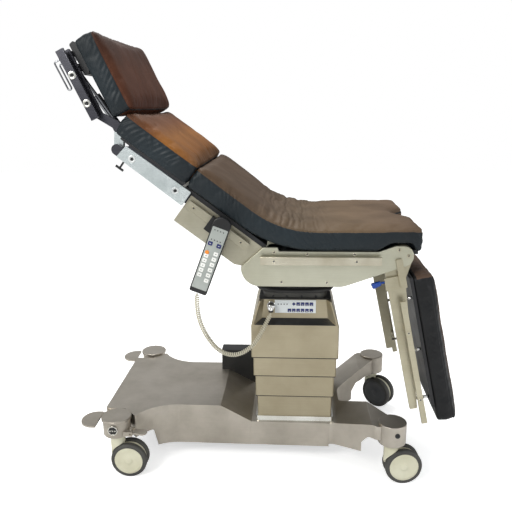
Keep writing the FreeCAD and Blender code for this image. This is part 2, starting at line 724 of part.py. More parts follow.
def bellows():
    """Folded rubber sleeve round the tilting gear."""
    low, high = CONSOLE_TOP, SEAT_BEAM_Z[0] - 1.0
    folds = 6
    pitch = (high - low) / folds
    half_x, half_y = BELLOWS_HALF
    round_out = 60.0
    layers = None
    for i in range(folds):
        z = low + i * pitch
        for part, out in ((0.0, 12.0), (0.5, 2.0)):
            x = half_x + out + BELLOWS_FLARE * i
            y = half_y + out
            ring = block((-x, x), (-y, y), (z + part * pitch, z + (part + 0.5) * pitch), round_out)
            layers = ring if layers is None else layers.fuse(ring)
    inner_x = half_x - 4.0
    inner_y = half_y - 4.0
    hollow = block((-inner_x, inner_x), (-inner_y, inner_y), (low - 1.0, high + 1.0), round_out - 10.0)
    return layers.cut(hollow)


def trim():
    """Bright band round the foot of the column."""
    x, y = TIER_HALF[0]
    ring = block((-x - TRIM_OUT, x + TRIM_OUT), (-y - TRIM_OUT, y + TRIM_OUT), TRIM_HEIGHT, 8.0)
    ring = ring.cut(block((-x - CLEAR, x + CLEAR), (-y - CLEAR, y + CLEAR), (100.0, 200.0), 5.0))
    return ring.cut(plate(base_side(0.0), -400.0, 400.0))


def column():
    for index, name in enumerate(("column_sleeve_lowest", "column_sleeve_low", "column_sleeve_middle",
                                  "column_sleeve_top")):
        save(name, sleeve(index))
    save("column_trim", trim())
    save("lift_piston", Part.makeCylinder(PISTON_R, TIER_TOP[3] - PISTON_BOTTOM, V(0, 0, PISTON_BOTTOM)))
    save("console_housing", console())
    key_panel, socket = console_pieces()
    save("console_fittings", [key_panel, socket])
    save("bellows", bellows())


def yoke():
    """Cross block with a pin along the table for side tilt and one across it for head and foot tilt."""
    body = block((-YOKE[0], YOKE[0]), (-YOKE[1], YOKE[1]), (PIVOT_Z - YOKE[2], PIVOT_Z + YOKE[2]), 6.0)
    reach_x = EAR_X[1] + 3.0
    reach_y = LUG_Y[1] + 3.0
    long_pin = rod((-reach_x, 0, PIVOT_Z), (reach_x, 0, PIVOT_Z), PIVOT_R)
    cross_pin = cross_rod(0, PIVOT_Z, -reach_y, reach_y, PIVOT_R)
    return fuse(body, long_pin, cross_pin)


# Seat

def seat_plate_corners(inset=0.0):
    ledge_x, ledge_z = PLATE_LEDGE
    slope = math.radians(19.7)
    eye_x, eye_z = LEG_HINGE
    eye_r = LEG_EYE_R - inset
    foot_z = eye_z - eye_r / math.cos(slope) + math.tan(slope) * eye_r
    return [
        (PLATE_HEAD_X, PLATE_BOTTOM, PLATE_LOW_R), (TAIL_START_X, PLATE_BOTTOM, 80.0),
        (eye_x + eye_r, foot_z, eye_r - 1.0), (eye_x + eye_r, eye_z + eye_r, eye_r - 1.0),
        (eye_x - 22.0, eye_z + eye_r, 18.0), (HUMP_START_X, STRIP_Z, 8.0), (LEDGE_START_X, STRIP_Z, 6.0),
        (LEDGE_START_X, ledge_z, 4.0), (ledge_x, ledge_z, 6.0), (PLATE_HEAD_X, PLATE_NECK_Z, 3.0),
    ]


def seat_side_plate():
    """Side plate with the pins that carry the lower back and the leg."""
    y0 = -PLATE_OUTER
    y1 = y0 + PLATE_THICK
    side = plate(seat_plate_corners(), y0, y1)
    side = soften(side, 2.0, lambda c: abs(c.y - y0) < 0.1)
    back_pin = cross_rod(BACK_HINGE[0], BACK_HINGE[1], y1 - 1.0, -BOX_OUTER + BOX_THICK, HINGE_PIN_R)
    leg_pin = cross_rod(LEG_HINGE[0], LEG_HINGE[1], y1 - 1.0, -LEG_BAR_Y[0], HINGE_PIN_R)
    return fuse(side, back_pin, leg_pin)


def rail(x, z, y, height, radius=1.5):
    """A flat accessory rail with rounded corners."""
    bar = block(x, y, (z - height / 2.0, z + height / 2.0))
    return bar.makeFillet(radius, [e for e in bar.Edges if abs(e.CenterOfMass.y) < 1e9 and e.Length > 50.0])


def seat_rails():
    inner = PLATE_OUTER + RAIL_SPACER
    bar = rail(SEAT_RAIL, SEAT_RAIL_Z, (-inner - RAIL_THICK, -inner), RAIL_HEIGHT)
    made = bar
    for x in SEAT_SPACERS:
        made = made.fuse(cross_rod(x, SEAT_RAIL_Z, -inner, -PLATE_OUTER, SPACER_R))
    return pair(made)


def seat_frame():
    """Cross beams between the side plates, with the lugs that hang on the tilt pin."""
    low, high = SEAT_BEAM_Z
    inner = PLATE_OUTER - PLATE_THICK
    beams = None
    for x in ((-30.0, 12.0), (198.0, 240.0)):
        beam = block(x, (-inner, inner), (low, high))
        beams = beam if beams is None else beams.fuse(beam)
    centre = block((-30.0, 240.0), (-140.0, 140.0), (low, high))
    beams = beams.fuse(centre)
    for side in (1.0, -1.0):
        y0, y1 = sorted((side * LUG_Y[0], side * LUG_Y[1]))
        lug = plate([(-PIVOT_R - 10.0, PIVOT_Z - PIVOT_R - 10.0, 21.9), (PIVOT_R + 10.0, PIVOT_Z - PIVOT_R - 10.0, 21.9),
                     (PIVOT_R + 10.0, low + 1.0), (-PIVOT_R - 10.0, low + 1.0)], y0, y1)
        beams = beams.fuse(lug.cut(cross_rod(0, PIVOT_Z, y0 - 1.0, y1 + 1.0, PIVOT_R + RUN)))
    for x0, x1 in ((-30.0, 12.0), (198.0, 240.0)):
        for side in (1.0, -1.0):
            y0, y1 = sorted((side * (inner - 30.0), side * inner))
            beams = beams.fuse(block((x0, x1), (y0, y1), (high - 1.0, PAD_TOP - SEAT_PAD_THICK - BOARD_THICK)))
    return beams.removeSplitter()


def cut_out(deepen, z0, z1):
    """Round scoop taken out of the leg end of the seat pad and its board."""
    half = CUT_OUT_WIDTH / 2.0 + deepen
    depth = CUT_OUT_DEPTH + deepen
    radius = (half * half + depth * depth) / (2.0 * depth)
    return Part.makeCylinder(radius, z1 - z0, V(SEAT_PAD_END - depth + radius, 0, z0))


def seat_board():
    top = PAD_TOP - SEAT_PAD_THICK
    low = top - BOARD_THICK
    inner = PLATE_OUTER - PLATE_THICK - 1.0
    board = block((-40.0, SEAT_PAD_END - 8.0), (-inner, inner), (low, top))
    board = board.cut(cut_out(8.0, low - 1.0, top + 1.0))
    for side in (1.0, -1.0):
        y0, y1 = sorted((side * (LEG_BAR_Y[0] - 3.0), side * 300.0))
        board = board.cut(block((LEG_HINGE[0] - 42.0, 400.0), (y0, y1), (low - 1.0, top + 1.0)))
    return board


def seat_pad():
    top = PAD_TOP
    low = top - SEAT_PAD_THICK
    half = PAD_WIDTH / 2.0
    solid = block((SEAT_PAD_START, SEAT_PAD_END), (-half, half), (low, top))
    solid = soften(solid, PAD_EDGE, lambda c: abs(abs(c.y) - half) < 1.0 and c.x > SEAT_PAD_START + 1.0)
    solid = solid.cut(cut_out(0.0, low - 1.0, top + 1.0))
    for side in (1.0, -1.0):
        y0, y1 = sorted((side * (LEG_BAR_Y[0] - 3.0), side * 300.0))
        room = cross_rod(LEG_HINGE[0], LEG_HINGE[1], y0, y1, LEG_EYE_R + 4.0)
        crest = LEG_HINGE[1] + LEG_EYE_R + 3.0
        ramp = plate([(HUMP_START_X - 14.0, low - 5.0), (HUMP_START_X - 14.0, STRIP_Z + CLEAR),
                      (LEG_HINGE[0] - 26.0, crest), (LEG_HINGE[0] + 25.0, crest - 1.0),
                      (LEG_HINGE[0] + 53.0, low), (LEG_HINGE[0] + 53.0, low - 5.0)], y0, y1)
        solid = solid.cut(room).cut(ramp).cut(strip_room(side))
    return solid


def strip_room(side):
    """Space above the side plate's top edge, which the soft pads leave free."""
    y0, y1 = sorted((side * (PLATE_OUTER - PLATE_THICK - 2.0), side * 300.0))
    return block((LEDGE_START_X, HUMP_START_X), (y0, y1), (STRIP_Z - 20.0, STRIP_Z + CLEAR))


def bend_pad():
    """Cushion over the back hinge: the seat pad's section carried along an arc up to the lower back pad."""
    half = PAD_WIDTH / 2.0
    low = PAD_TOP - SEAT_PAD_THICK
    corners = [(-half, low, PAD_EDGE), (half, low, PAD_EDGE), (half, PAD_TOP, PAD_EDGE), (-half, PAD_TOP, PAD_EDGE)]
    section = outline(corners, yz(SEAT_PAD_START))
    centre = V(SEAT_PAD_START, 0, PAD_MIDDLE + BEND_R)
    gap = math.degrees(CLEAR / BEND_R)
    section.rotate(centre, V(0, 1, 0), gap)
    bend = section.revolve(centre, V(0, 1, 0), BACK_ANGLE - 2.0 * gap)
    return bend.cut(strip_room(1.0)).cut(strip_room(-1.0))


def seat():
    save("seat_side_plates", pair(seat_side_plate()))
    save("seat_rails", seat_rails())
    save("seat_frame", seat_frame())
    save("seat_board", seat_board())
    save("seat_pad", seat_pad())
    save("bend_pad", bend_pad())


# Lower back

def lower_back_frame():
    """Two deep side boxes joined by cross tubes, with bores for the pins at both ends."""
    y0, y1 = -BOX_OUTER, -BOX_OUTER + BOX_THICK
    corners = [(BOX_END, BOX_TOP, 3.0), (BOX_END, BOX_BOTTOM, 3.0), (BOX_HEEL_S, BOX_BOTTOM, 12.0),
               (-KNUCKLE_R, -KNUCKLE_R, KNUCKLE_R - 0.1), (-KNUCKLE_R, KNUCKLE_R, KNUCKLE_R - 0.1)]
    side = plate(mapped(corners, along_back), y0, y1)
    side = side.cut(cross_rod(BACK_HINGE[0], BACK_HINGE[1], y0 - 1.0, y1 + 1.0, HINGE_PIN_R + RUN))
    upper = along_back(UPPER_HINGE_S, 0.0)
    side = side.cut(cross_rod(upper[0], upper[1], y0 + 8.0, y1 + 1.0, SMALL_PIN_R + RUN))
    frame = side.fuse(mirrored(side))
    for s in ((100.0, 130.0), (225.0, 255.0)):
        frame = frame.fuse(section_box(along_back, s, (-20.0, BOX_TOP), (y1 - 0.5, -y1 + 0.5), 4.0))
    return frame.removeSplitter()


def lower_back_rails():
    inner = BOX_OUTER + BACK_RAIL_GAP
    s0, s1 = BACK_RAIL
    x1, z = along_back(s0, 0.0)
    x0 = along_back(s1, 0.0)[0]
    bar = rail((x0, x1), z, (-inner - RAIL_THICK, -inner), RAIL_HEIGHT)
    for s in (s0 + 26.0, s1 - 22.0):
        x = along_back(s, 0.0)[0]
        bar = bar.fuse(cross_rod(x, z, -inner, -BOX_OUTER, SPACER_R))
    return pair(bar)


def lower_back():
    half = PAD_WIDTH / 2.0
    inner = BOX_OUTER - 0.5
    board = section_box(along_back, LOWER_BOARD, (BOX_TOP, LOWER_PAD_BOTTOM), (-inner, inner))
    soft = section_box(along_back, LOWER_PAD, (LOWER_PAD_BOTTOM, BACK_PAD_TOP), (-half, half))
    start = along_back(LOWER_PAD[0], 0.0)[0]
    soft = soften(soft, PAD_EDGE, lambda c: abs(c.x - start) > 1.0)
    save("lower_back_frame", raise_back([lower_back_frame()]))
    save("lower_back_rails", raise_back(lower_back_rails()))
    save("lower_back_board", raise_back([board]))
    save("lower_back_pad", raise_back([soft]))


# Upper back

def upper_back_plate():
    corners = [(UPPER_PLATE[0], UPPER_PLATE_N[0], 3.0), (UPPER_PLATE[1] + 6.0, UPPER_PLATE_N[0] + 4.0, 3.0),
               (UPPER_PLATE[1], UPPER_PLATE_N[1] - 3.0, 4.0), (UPPER_PLATE[0], UPPER_PLATE_N[1], 3.0)]
    side = plate(mapped(corners, along_back), -PLATE_OUTER, -PLATE_OUTER + PLATE_THICK)
    x, z = along_back(KNOB_S, 0.0)
    middle = -PLATE_OUTER + PLATE_THICK / 2.0
    hole = rod((x, middle, z - 40.0), (x, middle, z), 3.0 + RUN)
    return side.cut(hole)


def upper_back_frame():
    """Bars inside the side plates, a cross beam, the ears of the lower hinge and of the hinge block."""
    y0, y1 = -UPPER_BAR_Y[1], -UPPER_BAR_Y[0]
    bar = section_box(along_back, (UPPER_BAR[0], 545.0), (-15.0, UPPER_BOARD[0]), (y0, y1), 3.0)
    tongue = plate(mapped([(520.0, -EAR_R), (BLOCK_HINGE_S + EAR_R, -EAR_R, EAR_R - 0.1),
                           (BLOCK_HINGE_S + EAR_R, EAR_R, EAR_R - 0.1), (520.0, EAR_R)], along_back), y0, y1)
    ear = plate(mapped([(365.0, -EAR_R), (UPPER_HINGE_S - EAR_R, -EAR_R, EAR_R - 0.1),
                        (UPPER_HINGE_S - EAR_R, EAR_R, EAR_R - 0.1), (365.0, EAR_R)], along_back),
                -EAR_Y[1], -EAR_Y[0])
    hinge = along_back(UPPER_HINGE_S, 0.0)
    pin = cross_rod(hinge[0], hinge[1], -BOX_OUTER + 9.0, -EAR_Y[0] - 1.0, SMALL_PIN_R)
    block_hinge = along_back(BLOCK_HINGE_S, 0.0)
    block_pin = cross_rod(block_hinge[0], block_hinge[1], y0 + 1.0, -BLOCK_Y[0], SMALL_PIN_R)
    side = fuse(bar, tongue, ear, pin, block_pin)
    beam = section_box(along_back, (350.0, 380.0), (-15.0, UPPER_BOARD[0]), (y0 + 1.0, -y0 - 1.0), 3.0)
    far_beam = section_box(along_back, (480.0, 504.0), (5.0, UPPER_BOARD[0]), (y0 + 1.0, -y0 - 1.0), 3.0)
    return fuse(side, mirrored(side), beam, far_beam)


def lock_knob(side):
    """Clamp screw with a cross handle under the side plate."""
    x, z = along_back(KNOB_S, UPPER_PLATE_N[0])
    y = side * (PLATE_OUTER - PLATE_THICK / 2.0)
    stem = rod((x, y, z - 22.0), (x, y, z + 12.0), 3.0)
    handle = rod((x - 13.0, y, z - 20.0), (x + 13.0, y, z - 20.0), 3.6)
    return fuse(stem, handle)


def upper_back():
    half = PAD_WIDTH / 2.0
    board = section_box(along_back, (UPPER_PAD[0] + 4.0, UPPER_PAD[1] - 6.0), UPPER_BOARD, (-half + 6.0, half - 6.0), 3.0)
    soft = pad(along_back, UPPER_PAD, (UPPER_BOARD[1], BACK_PAD_TOP + 2.0), (-half, half))
    save("upper_back_plates", raise_back(pair(upper_back_plate())))
    save("upper_back_frame", raise_back([upper_back_frame()]))
    save("upper_back_board", raise_back([board]))
    save("upper_back_pad", raise_back([soft]))
    save("lock_knob_near", raise_back([lock_knob(-1.0)]))
    save("lock_knob_far", raise_back([lock_knob(1.0)]))


# Head section

def hinge_block():
    """Link between the upper back and the head section, with a pivot at each end."""
    low = along_back(BLOCK_HINGE_S, 0.0)
    high = along_back(*HEAD_HINGE)
    y0, y1 = -BLOCK_Y[1], -BLOCK_Y[0]
    across = math.atan2(high[1] - low[1], high[0] - low[0]) + math.pi / 2.0
    dx, dz = math.cos(across) * BLOCK_R, math.sin(across) * BLOCK_R
    bar = plate([(low[0] + dx, low[1] + dz), (low[0] - dx, low[1] - dz), (high[0] - dx, high[1] - dz),
                 (high[0] + dx, high[1] + dz)], y0, y1)
    link = fuse(bar, cross_rod(low[0], low[1], y0, y1, BLOCK_R), cross_rod(high[0], high[1], y0, y1, BLOCK_R))
    for x, z in (low, high):
        link = link.cut(cross_rod(x, z, y0 - 1.0, y1 + 1.0, SMALL_PIN_R + RUN))
    return link


def head_arm():
    """Flat arm from the head bar to the upper pivot, with its pin."""
    y0, y1 = -HEAD_BAR_Y[1], -HEAD_BAR_Y[0]
    corners = [(-8.0, -13.5, 8.0), (9.0, -13.5, 6.0), (HEAD_BAR[0] + 4.0, HEAD_BAR_N - 12.0, 4.0),
               (HEAD_BAR[0] + 8.0, HEAD_BAR_N + 12.0, 4.0), (16.0, 13.0, 10.0), (-8.0, 13.0, 8.0)]
    arm = plate(mapped(corners, along_head), y0, y1)
    x, z = along_head(0.0, 0.0)
    return fuse(arm, cross_rod(x, z, y0 + 1.0, -STRUT_Y + STRUT_R + 1.0, SMALL_PIN_R))


def head_frame():
    """Inner bars with their arms, cross bars and the clamp blocks under the pad."""
    y0, y1 = -HEAD_BAR_Y[1], -HEAD_BAR_Y[0]
    bar = section_box(along_head, HEAD_BAR, (HEAD_BAR_N - 12.5, HEAD_BAR_N + 12.5), (y0, y1), 2.0)
    side = fuse(bar, head_arm())
    return fuse(side, mirrored(side), *[head_bridge(s) for s in HEAD_BRIDGES])


def head_clamp():
    """Dark clamp block between the head frame and the pad's board."""
    corners = [(176.0, -20.0, 4.0), (272.0, -20.0, 6.0), (276.0, -4.0, 4.0), (262.0, 0.0), (186.0, 0.0),
               (176.0, -8.0, 3.0)]
    return plate(mapped(corners, along_head), -HEAD_BAR_Y[0] + 9.0, -HEAD_BAR_Y[0] + 84.0)


def head_rails():
    n = HEAD_RAIL_N
    x1, z = along_head(HEAD_RAIL[0], n)
    x0 = along_head(HEAD_RAIL[1], n)[0]
    bar = rail((x0, x1), z, (-HEAD_RAIL_Y[1], -HEAD_RAIL_Y[0]), RAIL_HEIGHT)
    for s in HEAD_SPACERS:
        x = along_head(s, n)[0]
        bar = bar.fuse(cross_rod(x, z, -HEAD_RAIL_Y[0], -HEAD_BAR_Y[1], SPACER_R))
    return pair(bar)


def head_strut():
    """Locking strut under the head section: a cylinder on the pivot pin and its rod to the cross bar."""
    lower = along_head(0.0, -4.0)
    upper = along_head(HEAD_BRIDGES[0][0], -36.0)
    axis = V(upper[0] - lower[0], 0, upper[1] - lower[1])
    start = V(lower[0], -STRUT_Y, lower[1])
    length = axis.Length
    axis.normalize()
    body = Part.makeCylinder(STRUT_R, STRUT_BODY - 6.0, start + axis * 6.0, axis)
    body = body.fuse(cross_rod(lower[0], lower[1], -STRUT_Y - 8.0, -STRUT_Y + 8.0, STRUT_R + 1.0))
    piston = Part.makeCylinder(5.0, length - STRUT_BODY + 8.0, start + axis * (STRUT_BODY - 4.0), axis)
    x, z = along_head(0.0, 0.0)
    strut = fuse(body, piston).cut(cross_rod(x, z, -STRUT_Y - 30.0, -STRUT_Y + 30.0, SMALL_PIN_R))
    return strut.cut(head_bridge(HEAD_BRIDGES[0]))


def head_bridge(s):
    y = HEAD_BAR_Y[0]
    return section_box(along_head, s, (HEAD_BAR_N - 8.0, -20.0), (-y - 0.5, y + 0.5), 3.0)


def bent_wire(points, radius, bend):
    """A round wire along points with a bend at each inner corner."""
    edges = []
    here = V(*points[0])
    for i in range(1, len(points) - 1):
        corner = V(*points[i])
        into = (corner - V(*points[i - 1])).normalize()
        out = (V(*points[i + 1]) - corner).normalize()
        turn = math.acos(max(-1.0, min(1.0, into.dot(out))))
        reach = bend * math.tan(turn / 2.0)
        start = corner - into * reach
        stop = corner + out * reach
        middle = corner + (out - into).normalize() * (bend / math.cos(turn / 2.0) - bend)
        edges.append(Part.LineSegment(here, start).toShape())
        edges.append(Part.Arc(start, middle, stop).toShape())
        here = stop
    edges.append(Part.LineSegment(here, V(*points[-1])).toShape())
    path = Part.Wire(edges)
    tangent = (V(*points[1]) - V(*points[0])).normalize()
    ring = Part.Wire(Part.makeCircle(radius, V(*points[0]), tangent))
    return path.makePipeShell([ring], True, False), path


def head_loop():
    """Bright wire loop below the rail."""
    y = -0.5 * (HEAD_BAR_Y[0] + HEAD_BAR_Y[1])
    foot = HEAD_BAR_N - 12.5
    route = [(244.0, foot + 1.0), (244.0, -80.0), (158.0, -80.0), (158.0, -69.0), (232.0, -69.0), (232.0, foot + 1.0)]
    points = []
    for s, n in route:
        x, z = along_head(s, n)
        points.append((x, y, z))
    wire, path = bent_wire(points, LOOP_R, 5.0)
    edge = section_box(along_head, HEAD_BAR, (HEAD_BAR_N - 12.5, HEAD_BAR_N + 12.5), (y - 6.0, y + 6.0))
    return wire.cut(edge)


def head():
    half = PAD_WIDTH / 2.0
    board = section_box(along_head, (60.0, 252.0), (0.0, HEAD_PAD_N[0]), (-half + 40.0, half - 40.0), 3.0)
    soft = pad(along_head, HEAD_PAD, HEAD_PAD_N, (-half, half))
    save("head_hinge_blocks", raise_back(pair(hinge_block())))
    save("head_frame", raise_head([head_frame()]))
    save("head_rails", raise_head(head_rails()))
    save("head_struts", raise_head(pair(head_strut()) + pair(head_loop())))
    save("head_board", raise_head([board] + pair(head_clamp())))
    save("head_pad", raise_head([soft]))


# Legs

def leg_bar():
    """Tapered bar with the hinge eye, its rail on spacers and the bright pins that carry the board."""
    y0, y1 = -LEG_BAR_Y[1], -LEG_BAR_Y[0]
    corners = [(20.0, 27.0, 8.0), (76.0, -4.0, 20.0), (LEG_BAR_END, -36.0, 3.0), (LEG_BAR_END, -60.0, 3.0),
               (42.0, -60.0, 14.0), (-12.0, -28.0, 8.0)]
    body = plate(mapped(corners, along_leg), y0, y1)
    x, z = LEG_HINGE
    eye = cross_rod(x, z, y0, y1, LEG_EYE_R + 1.0)
    bar = fuse(body, eye)
    return bar.cut(cross_rod(x, z, y0 - 1.0, y1 + 1.0, HINGE_PIN_R + RUN))


def leg_rail():
    x0, z = along_leg(LEG_RAIL[0], LEG_RAIL_N)
    x1 = along_leg(LEG_RAIL[1], LEG_RAIL_N)[0]
    bar = rail((x0, x1), z, (-LEG_RAIL_Y[1], -LEG_RAIL_Y[0]), LEG_RAIL_HEIGHT)
    for s in LEG_SPACERS:
        x = along_leg(s, LEG_RAIL_N)[0]
        bar = bar.fuse(cross_rod(x, z, -LEG_RAIL_Y[0], -LEG_BAR_Y[1], SPACER_R))
    return bar


def leg_clamp():
    """Clamp round the top of the bar and the strap that rises in front of the seat plate."""
    collar = plate(mapped([(58.0, -66.0, 3.0), (100.0, -66.0, 3.0), (100.0, -2.0, 3.0), (58.0, -2.0, 3.0)], along_leg),
                   -LEG_BAR_Y[1] - 8.0, -LEG_BAR_Y[1])
    strap = plate(mapped([(4.0, -24.0, 5.0), (4.0, -4.0, 5.0), (92.0, -4.0, 2.0), (92.0, -24.0, 2.0)], along_leg),
                  -PLATE_OUTER - 8.0, -PLATE_OUTER - CLEAR)
    bridge = plate(mapped([(62.0, -24.0), (62.0, -4.0), (92.0, -4.0), (92.0, -24.0)], along_leg),
                   -PLATE_OUTER - 4.0, -LEG_BAR_Y[1] - 4.0)
    return fuse(collar, strap, bridge)


def leg_lever():
    """Quick-release lever: a bright stem and a blue grip."""
    y = -0.5 * (LEG_BAR_Y[0] + LEG_BAR_Y[1])
    top = along_leg(LEVER_S, -60.0 - CLEAR)
    foot = along_leg(LEVER_S, -78.0)
    stem = rod((top[0], y, top[1]), (foot[0], y, foot[1]), LEVER_STEM_R)
    grip_corners = [(68.0, -77.0, 3.0), (80.0, -77.0, 3.0), (88.0, -104.0, 5.0), (70.0, -108.0, 5.0)]
    grip = plate(mapped(grip_corners, along_leg), y - 7.0, y + 7.0)
    grip = soften(grip, 2.5, lambda c: abs(abs(c.y - y) - 7.0) < 0.1)
    return fuse(stem, grip)


def leg_board():
    half = PAD_WIDTH / 2.0
    board = section_box(along_leg, (LEG_PAD[0] + 8.0, LEG_PAD[1] - 60.0), (7.0, LEG_PAD_N[0]), (-half + 4.0, -LEG_GAP - 6.0), 3.0)
    return board


def leg_pins():
    made = []
    y = -0.5 * (LEG_BAR_Y[0] + LEG_BAR_Y[1])
    for s in LEG_PINS:
        share = (s - 76.0) / (LEG_BAR_END - 76.0)
        foot = along_leg(s, -4.0 - 32.0 * share)
        top = along_leg(s, 7.0)
        made.append(rod((foot[0], y, foot[1] - 0.5), (top[0], y, top[1]), LEG_PIN_R))
    bar = leg_bar()
    return [pin.cut(bar) for pin in made]


def legs():
    half = PAD_WIDTH / 2.0
    soft = pad(along_leg, LEG_PAD, LEG_PAD_N, (-half, -LEG_GAP))
    pieces = {
        "leg_bar": [leg_bar(), leg_rail(), leg_clamp()],
        "leg_lever": [leg_lever()],
        "leg_board": [leg_board()] + leg_pins(),
        "leg_pad": [soft],
    }
    for name, solids in pieces.items():
        save(name + "_near", drop_leg(solids))
        save(name + "_far", drop_leg([mirrored(s) for s in solids]))


# Hand control

def handset():
    """Slim case with a hook that hangs over the back rail."""
    top = V(HANDSET_TOP[0], 0, HANDSET_TOP[1])
    foot = V(HANDSET_BOTTOM[0], 0, HANDSET_BOTTOM[1])
    along = top - foot
    length = along.Length
    tilt = math.degrees(math.atan2(along.x, along.z))
    half = HANDSET_WIDTH / 2.0
    case = plate([(-half, 0.0, 5.0), (half, 0.0, 5.0), (half, length, 24.0), (-half, length, 24.0)],
                 HANDSET_Y[0], HANDSET_Y[1])
    case = soften(case, 3.0, lambda c: abs(c.y - HANDSET_Y[0]) < 0.1 or abs(c.y - HANDSET_Y[1]) < 0.1)
    case.rotate(V(0, 0, 0), V(0, 1, 0), tilt)
    case.translate(V(foot.x, 0, foot.z))
    return fuse(case, handset_hook())


def handset_hook():
    """Flat hook: a plate against the case, a bridge over the rail and a lip behind it."""
    rail_outer = BOX_OUTER + BACK_RAIL_GAP + RAIL_THICK
    rail_inner = BOX_OUTER + BACK_RAIL_GAP
    top = RAIL_HEIGHT / 2.0 + CLEAR
    s0, s1 = 196.0, 224.0
    back = section_box(along_back, (s0, s1), (-30.0, top + 3.0), (HANDSET_Y[1] - 1.0, -rail_outer - 0.5))
    bridge = section_box(along_back, (s0, s1), (top, top + 3.0), (-rail_outer - 1.0, -rail_inner + 4.0))
    lip = section_box(along_back, (s0, s1), (-2.0, top + 3.0), (-rail_inner + 1.0, -rail_inner + 4.0))
    return raise_back([fuse(back, bridge, lip)])[0]


def cord_tube():
    """The curly cord as one tube of its outer diameter: straight runs joined by tangent arcs."""
    points = [V(*p) for p in CORD_ROUTE]
    edges = []
    here = points[0]
    for before, corner, after in zip(points, points[1:], points[2:]):
        into = corner - before
        out = after - corner
        shorter = min(into.Length, out.Length)
        into.normalize()
        out.normalize()
        turn = math.acos(max(-1.0, min(1.0, into.dot(out))))
        reach = 0.45 * shorter
        radius = reach / math.tan(turn / 2.0)
        print("cord arc radius %.0f mm, turn %.0f degrees" % (radius, math.degrees(turn)))
        start = corner - into * reach
        stop = corner + out * reach
        middle = corner + (out - into).normalize() * (radius / math.cos(turn / 2.0) - radius)
        edges.append(Part.LineSegment(here, start).toShape())
        edges.append(Part.Arc(start, middle, stop).toShape())
        here = stop
    edges.append(Part.LineSegment(here, points[-1]).toShape())
    path = Part.Wire(edges)
    ring = Part.Wire(Part.makeCircle(CORD_D / 2.0, points[0], (points[1] - points[0]).normalize()))
    tube = path.makePipeShell([ring], True, False)
    expected = math.pi * (CORD_D / 2.0) ** 2 * path.Length
    print("cord length %.0f mm, volume over section times length %.4f" % (path.Length, tube.Volume / expected))
    return tube


def hand_control():
    save("handset", handset())
    save("cord_plug", cord_plug())
    save("curly_cord", cord_tube())


def main():
    os.makedirs("parts", exist_ok=True)
    base()
    casters()
    pedals()
    column()
    save("tilt_yoke", yoke())
    seat()
    lower_back()
    upper_back()
    head()
    legs()
    hand_control()


main()
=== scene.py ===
# Operating table: finishes, cushions, cord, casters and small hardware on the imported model.
# Sizes here are millimetres in the model's own frame; putMesh turns them into metres.
import bpy
import bmesh
import math
import numpy as np
from mathutils import Matrix, Vector


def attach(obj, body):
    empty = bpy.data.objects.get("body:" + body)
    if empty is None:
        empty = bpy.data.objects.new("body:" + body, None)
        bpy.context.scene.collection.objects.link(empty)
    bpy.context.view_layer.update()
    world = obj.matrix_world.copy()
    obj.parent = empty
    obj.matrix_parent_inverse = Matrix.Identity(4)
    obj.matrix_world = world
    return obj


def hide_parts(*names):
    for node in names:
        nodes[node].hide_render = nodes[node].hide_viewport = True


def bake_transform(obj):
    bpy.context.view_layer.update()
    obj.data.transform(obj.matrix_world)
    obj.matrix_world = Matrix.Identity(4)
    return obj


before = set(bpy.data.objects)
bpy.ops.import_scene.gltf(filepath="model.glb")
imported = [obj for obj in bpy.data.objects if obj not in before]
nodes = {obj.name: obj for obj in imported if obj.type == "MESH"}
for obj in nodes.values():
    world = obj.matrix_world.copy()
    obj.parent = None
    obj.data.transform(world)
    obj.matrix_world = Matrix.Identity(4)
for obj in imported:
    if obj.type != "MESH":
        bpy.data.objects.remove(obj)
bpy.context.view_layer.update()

backAngle, headAngle, legAngle = math.radians(37.0), math.radians(65.0), math.radians(77.8)

# origin in x and z, direction along the section, direction out of its top
sections = {
    "seat": ((0.0, 0.0), (1.0, 0.0), (0.0, 1.0)),
    "back": ((-76.0, 735.0), (-math.cos(backAngle), math.sin(backAngle)), (math.sin(backAngle), math.cos(backAngle))),
    "head": ((-523.9, 1137.6), (-math.cos(headAngle), math.sin(headAngle)), (math.sin(headAngle), math.cos(headAngle))),
    "leg": ((321.0, 757.0), (math.cos(legAngle), -math.sin(legAngle)), (math.sin(legAngle), math.cos(legAngle))),
}


def placeIn(section, along, across, lift):
    # origin + along * direction + lift * normal, with across as the Y coordinate
    origin, direction, normal = sections[section]
    x = origin[0] + along * direction[0] + lift * normal[0]
    z = origin[1] + along * direction[1] + lift * normal[1]
    return np.stack(np.broadcast_arrays(x, across, z), -1)


# Mesh helpers

def putMesh(name, points, faces, materials, faceMaterial=None, merge=0.0, smooth=True):
    # one mesh object from arrays; merge (in mm) closes seams and poles, then the normals are turned outwards
    mesh = bpy.data.meshes.new(name)
    mesh.from_pydata((np.asarray(points).reshape(-1, 3) * 0.001).tolist(), [], np.asarray(faces).tolist())
    for material in materials:
        mesh.materials.append(material)
    if faceMaterial is not None:
        mesh.polygons.foreach_set("material_index", np.asarray(faceMaterial, np.int32).ravel())
    mesh.polygons.foreach_set("use_smooth", np.full(len(mesh.polygons), smooth))
    piece = bpy.data.objects.new(name, mesh)
    bpy.context.scene.collection.objects.link(piece)
    if merge > 0.0:
        closeMesh(mesh, merge * 0.001)
    return piece


def closeMesh(mesh, distance):
    shell = bmesh.new()
    shell.from_mesh(mesh)
    bmesh.ops.remove_doubles(shell, verts=shell.verts, dist=distance)
    bmesh.ops.dissolve_degenerate(shell, edges=shell.edges, dist=distance * 0.5)
    bmesh.ops.recalc_face_normals(shell, faces=shell.faces)
    shell.to_mesh(mesh)
    shell.free()
    mesh.update()


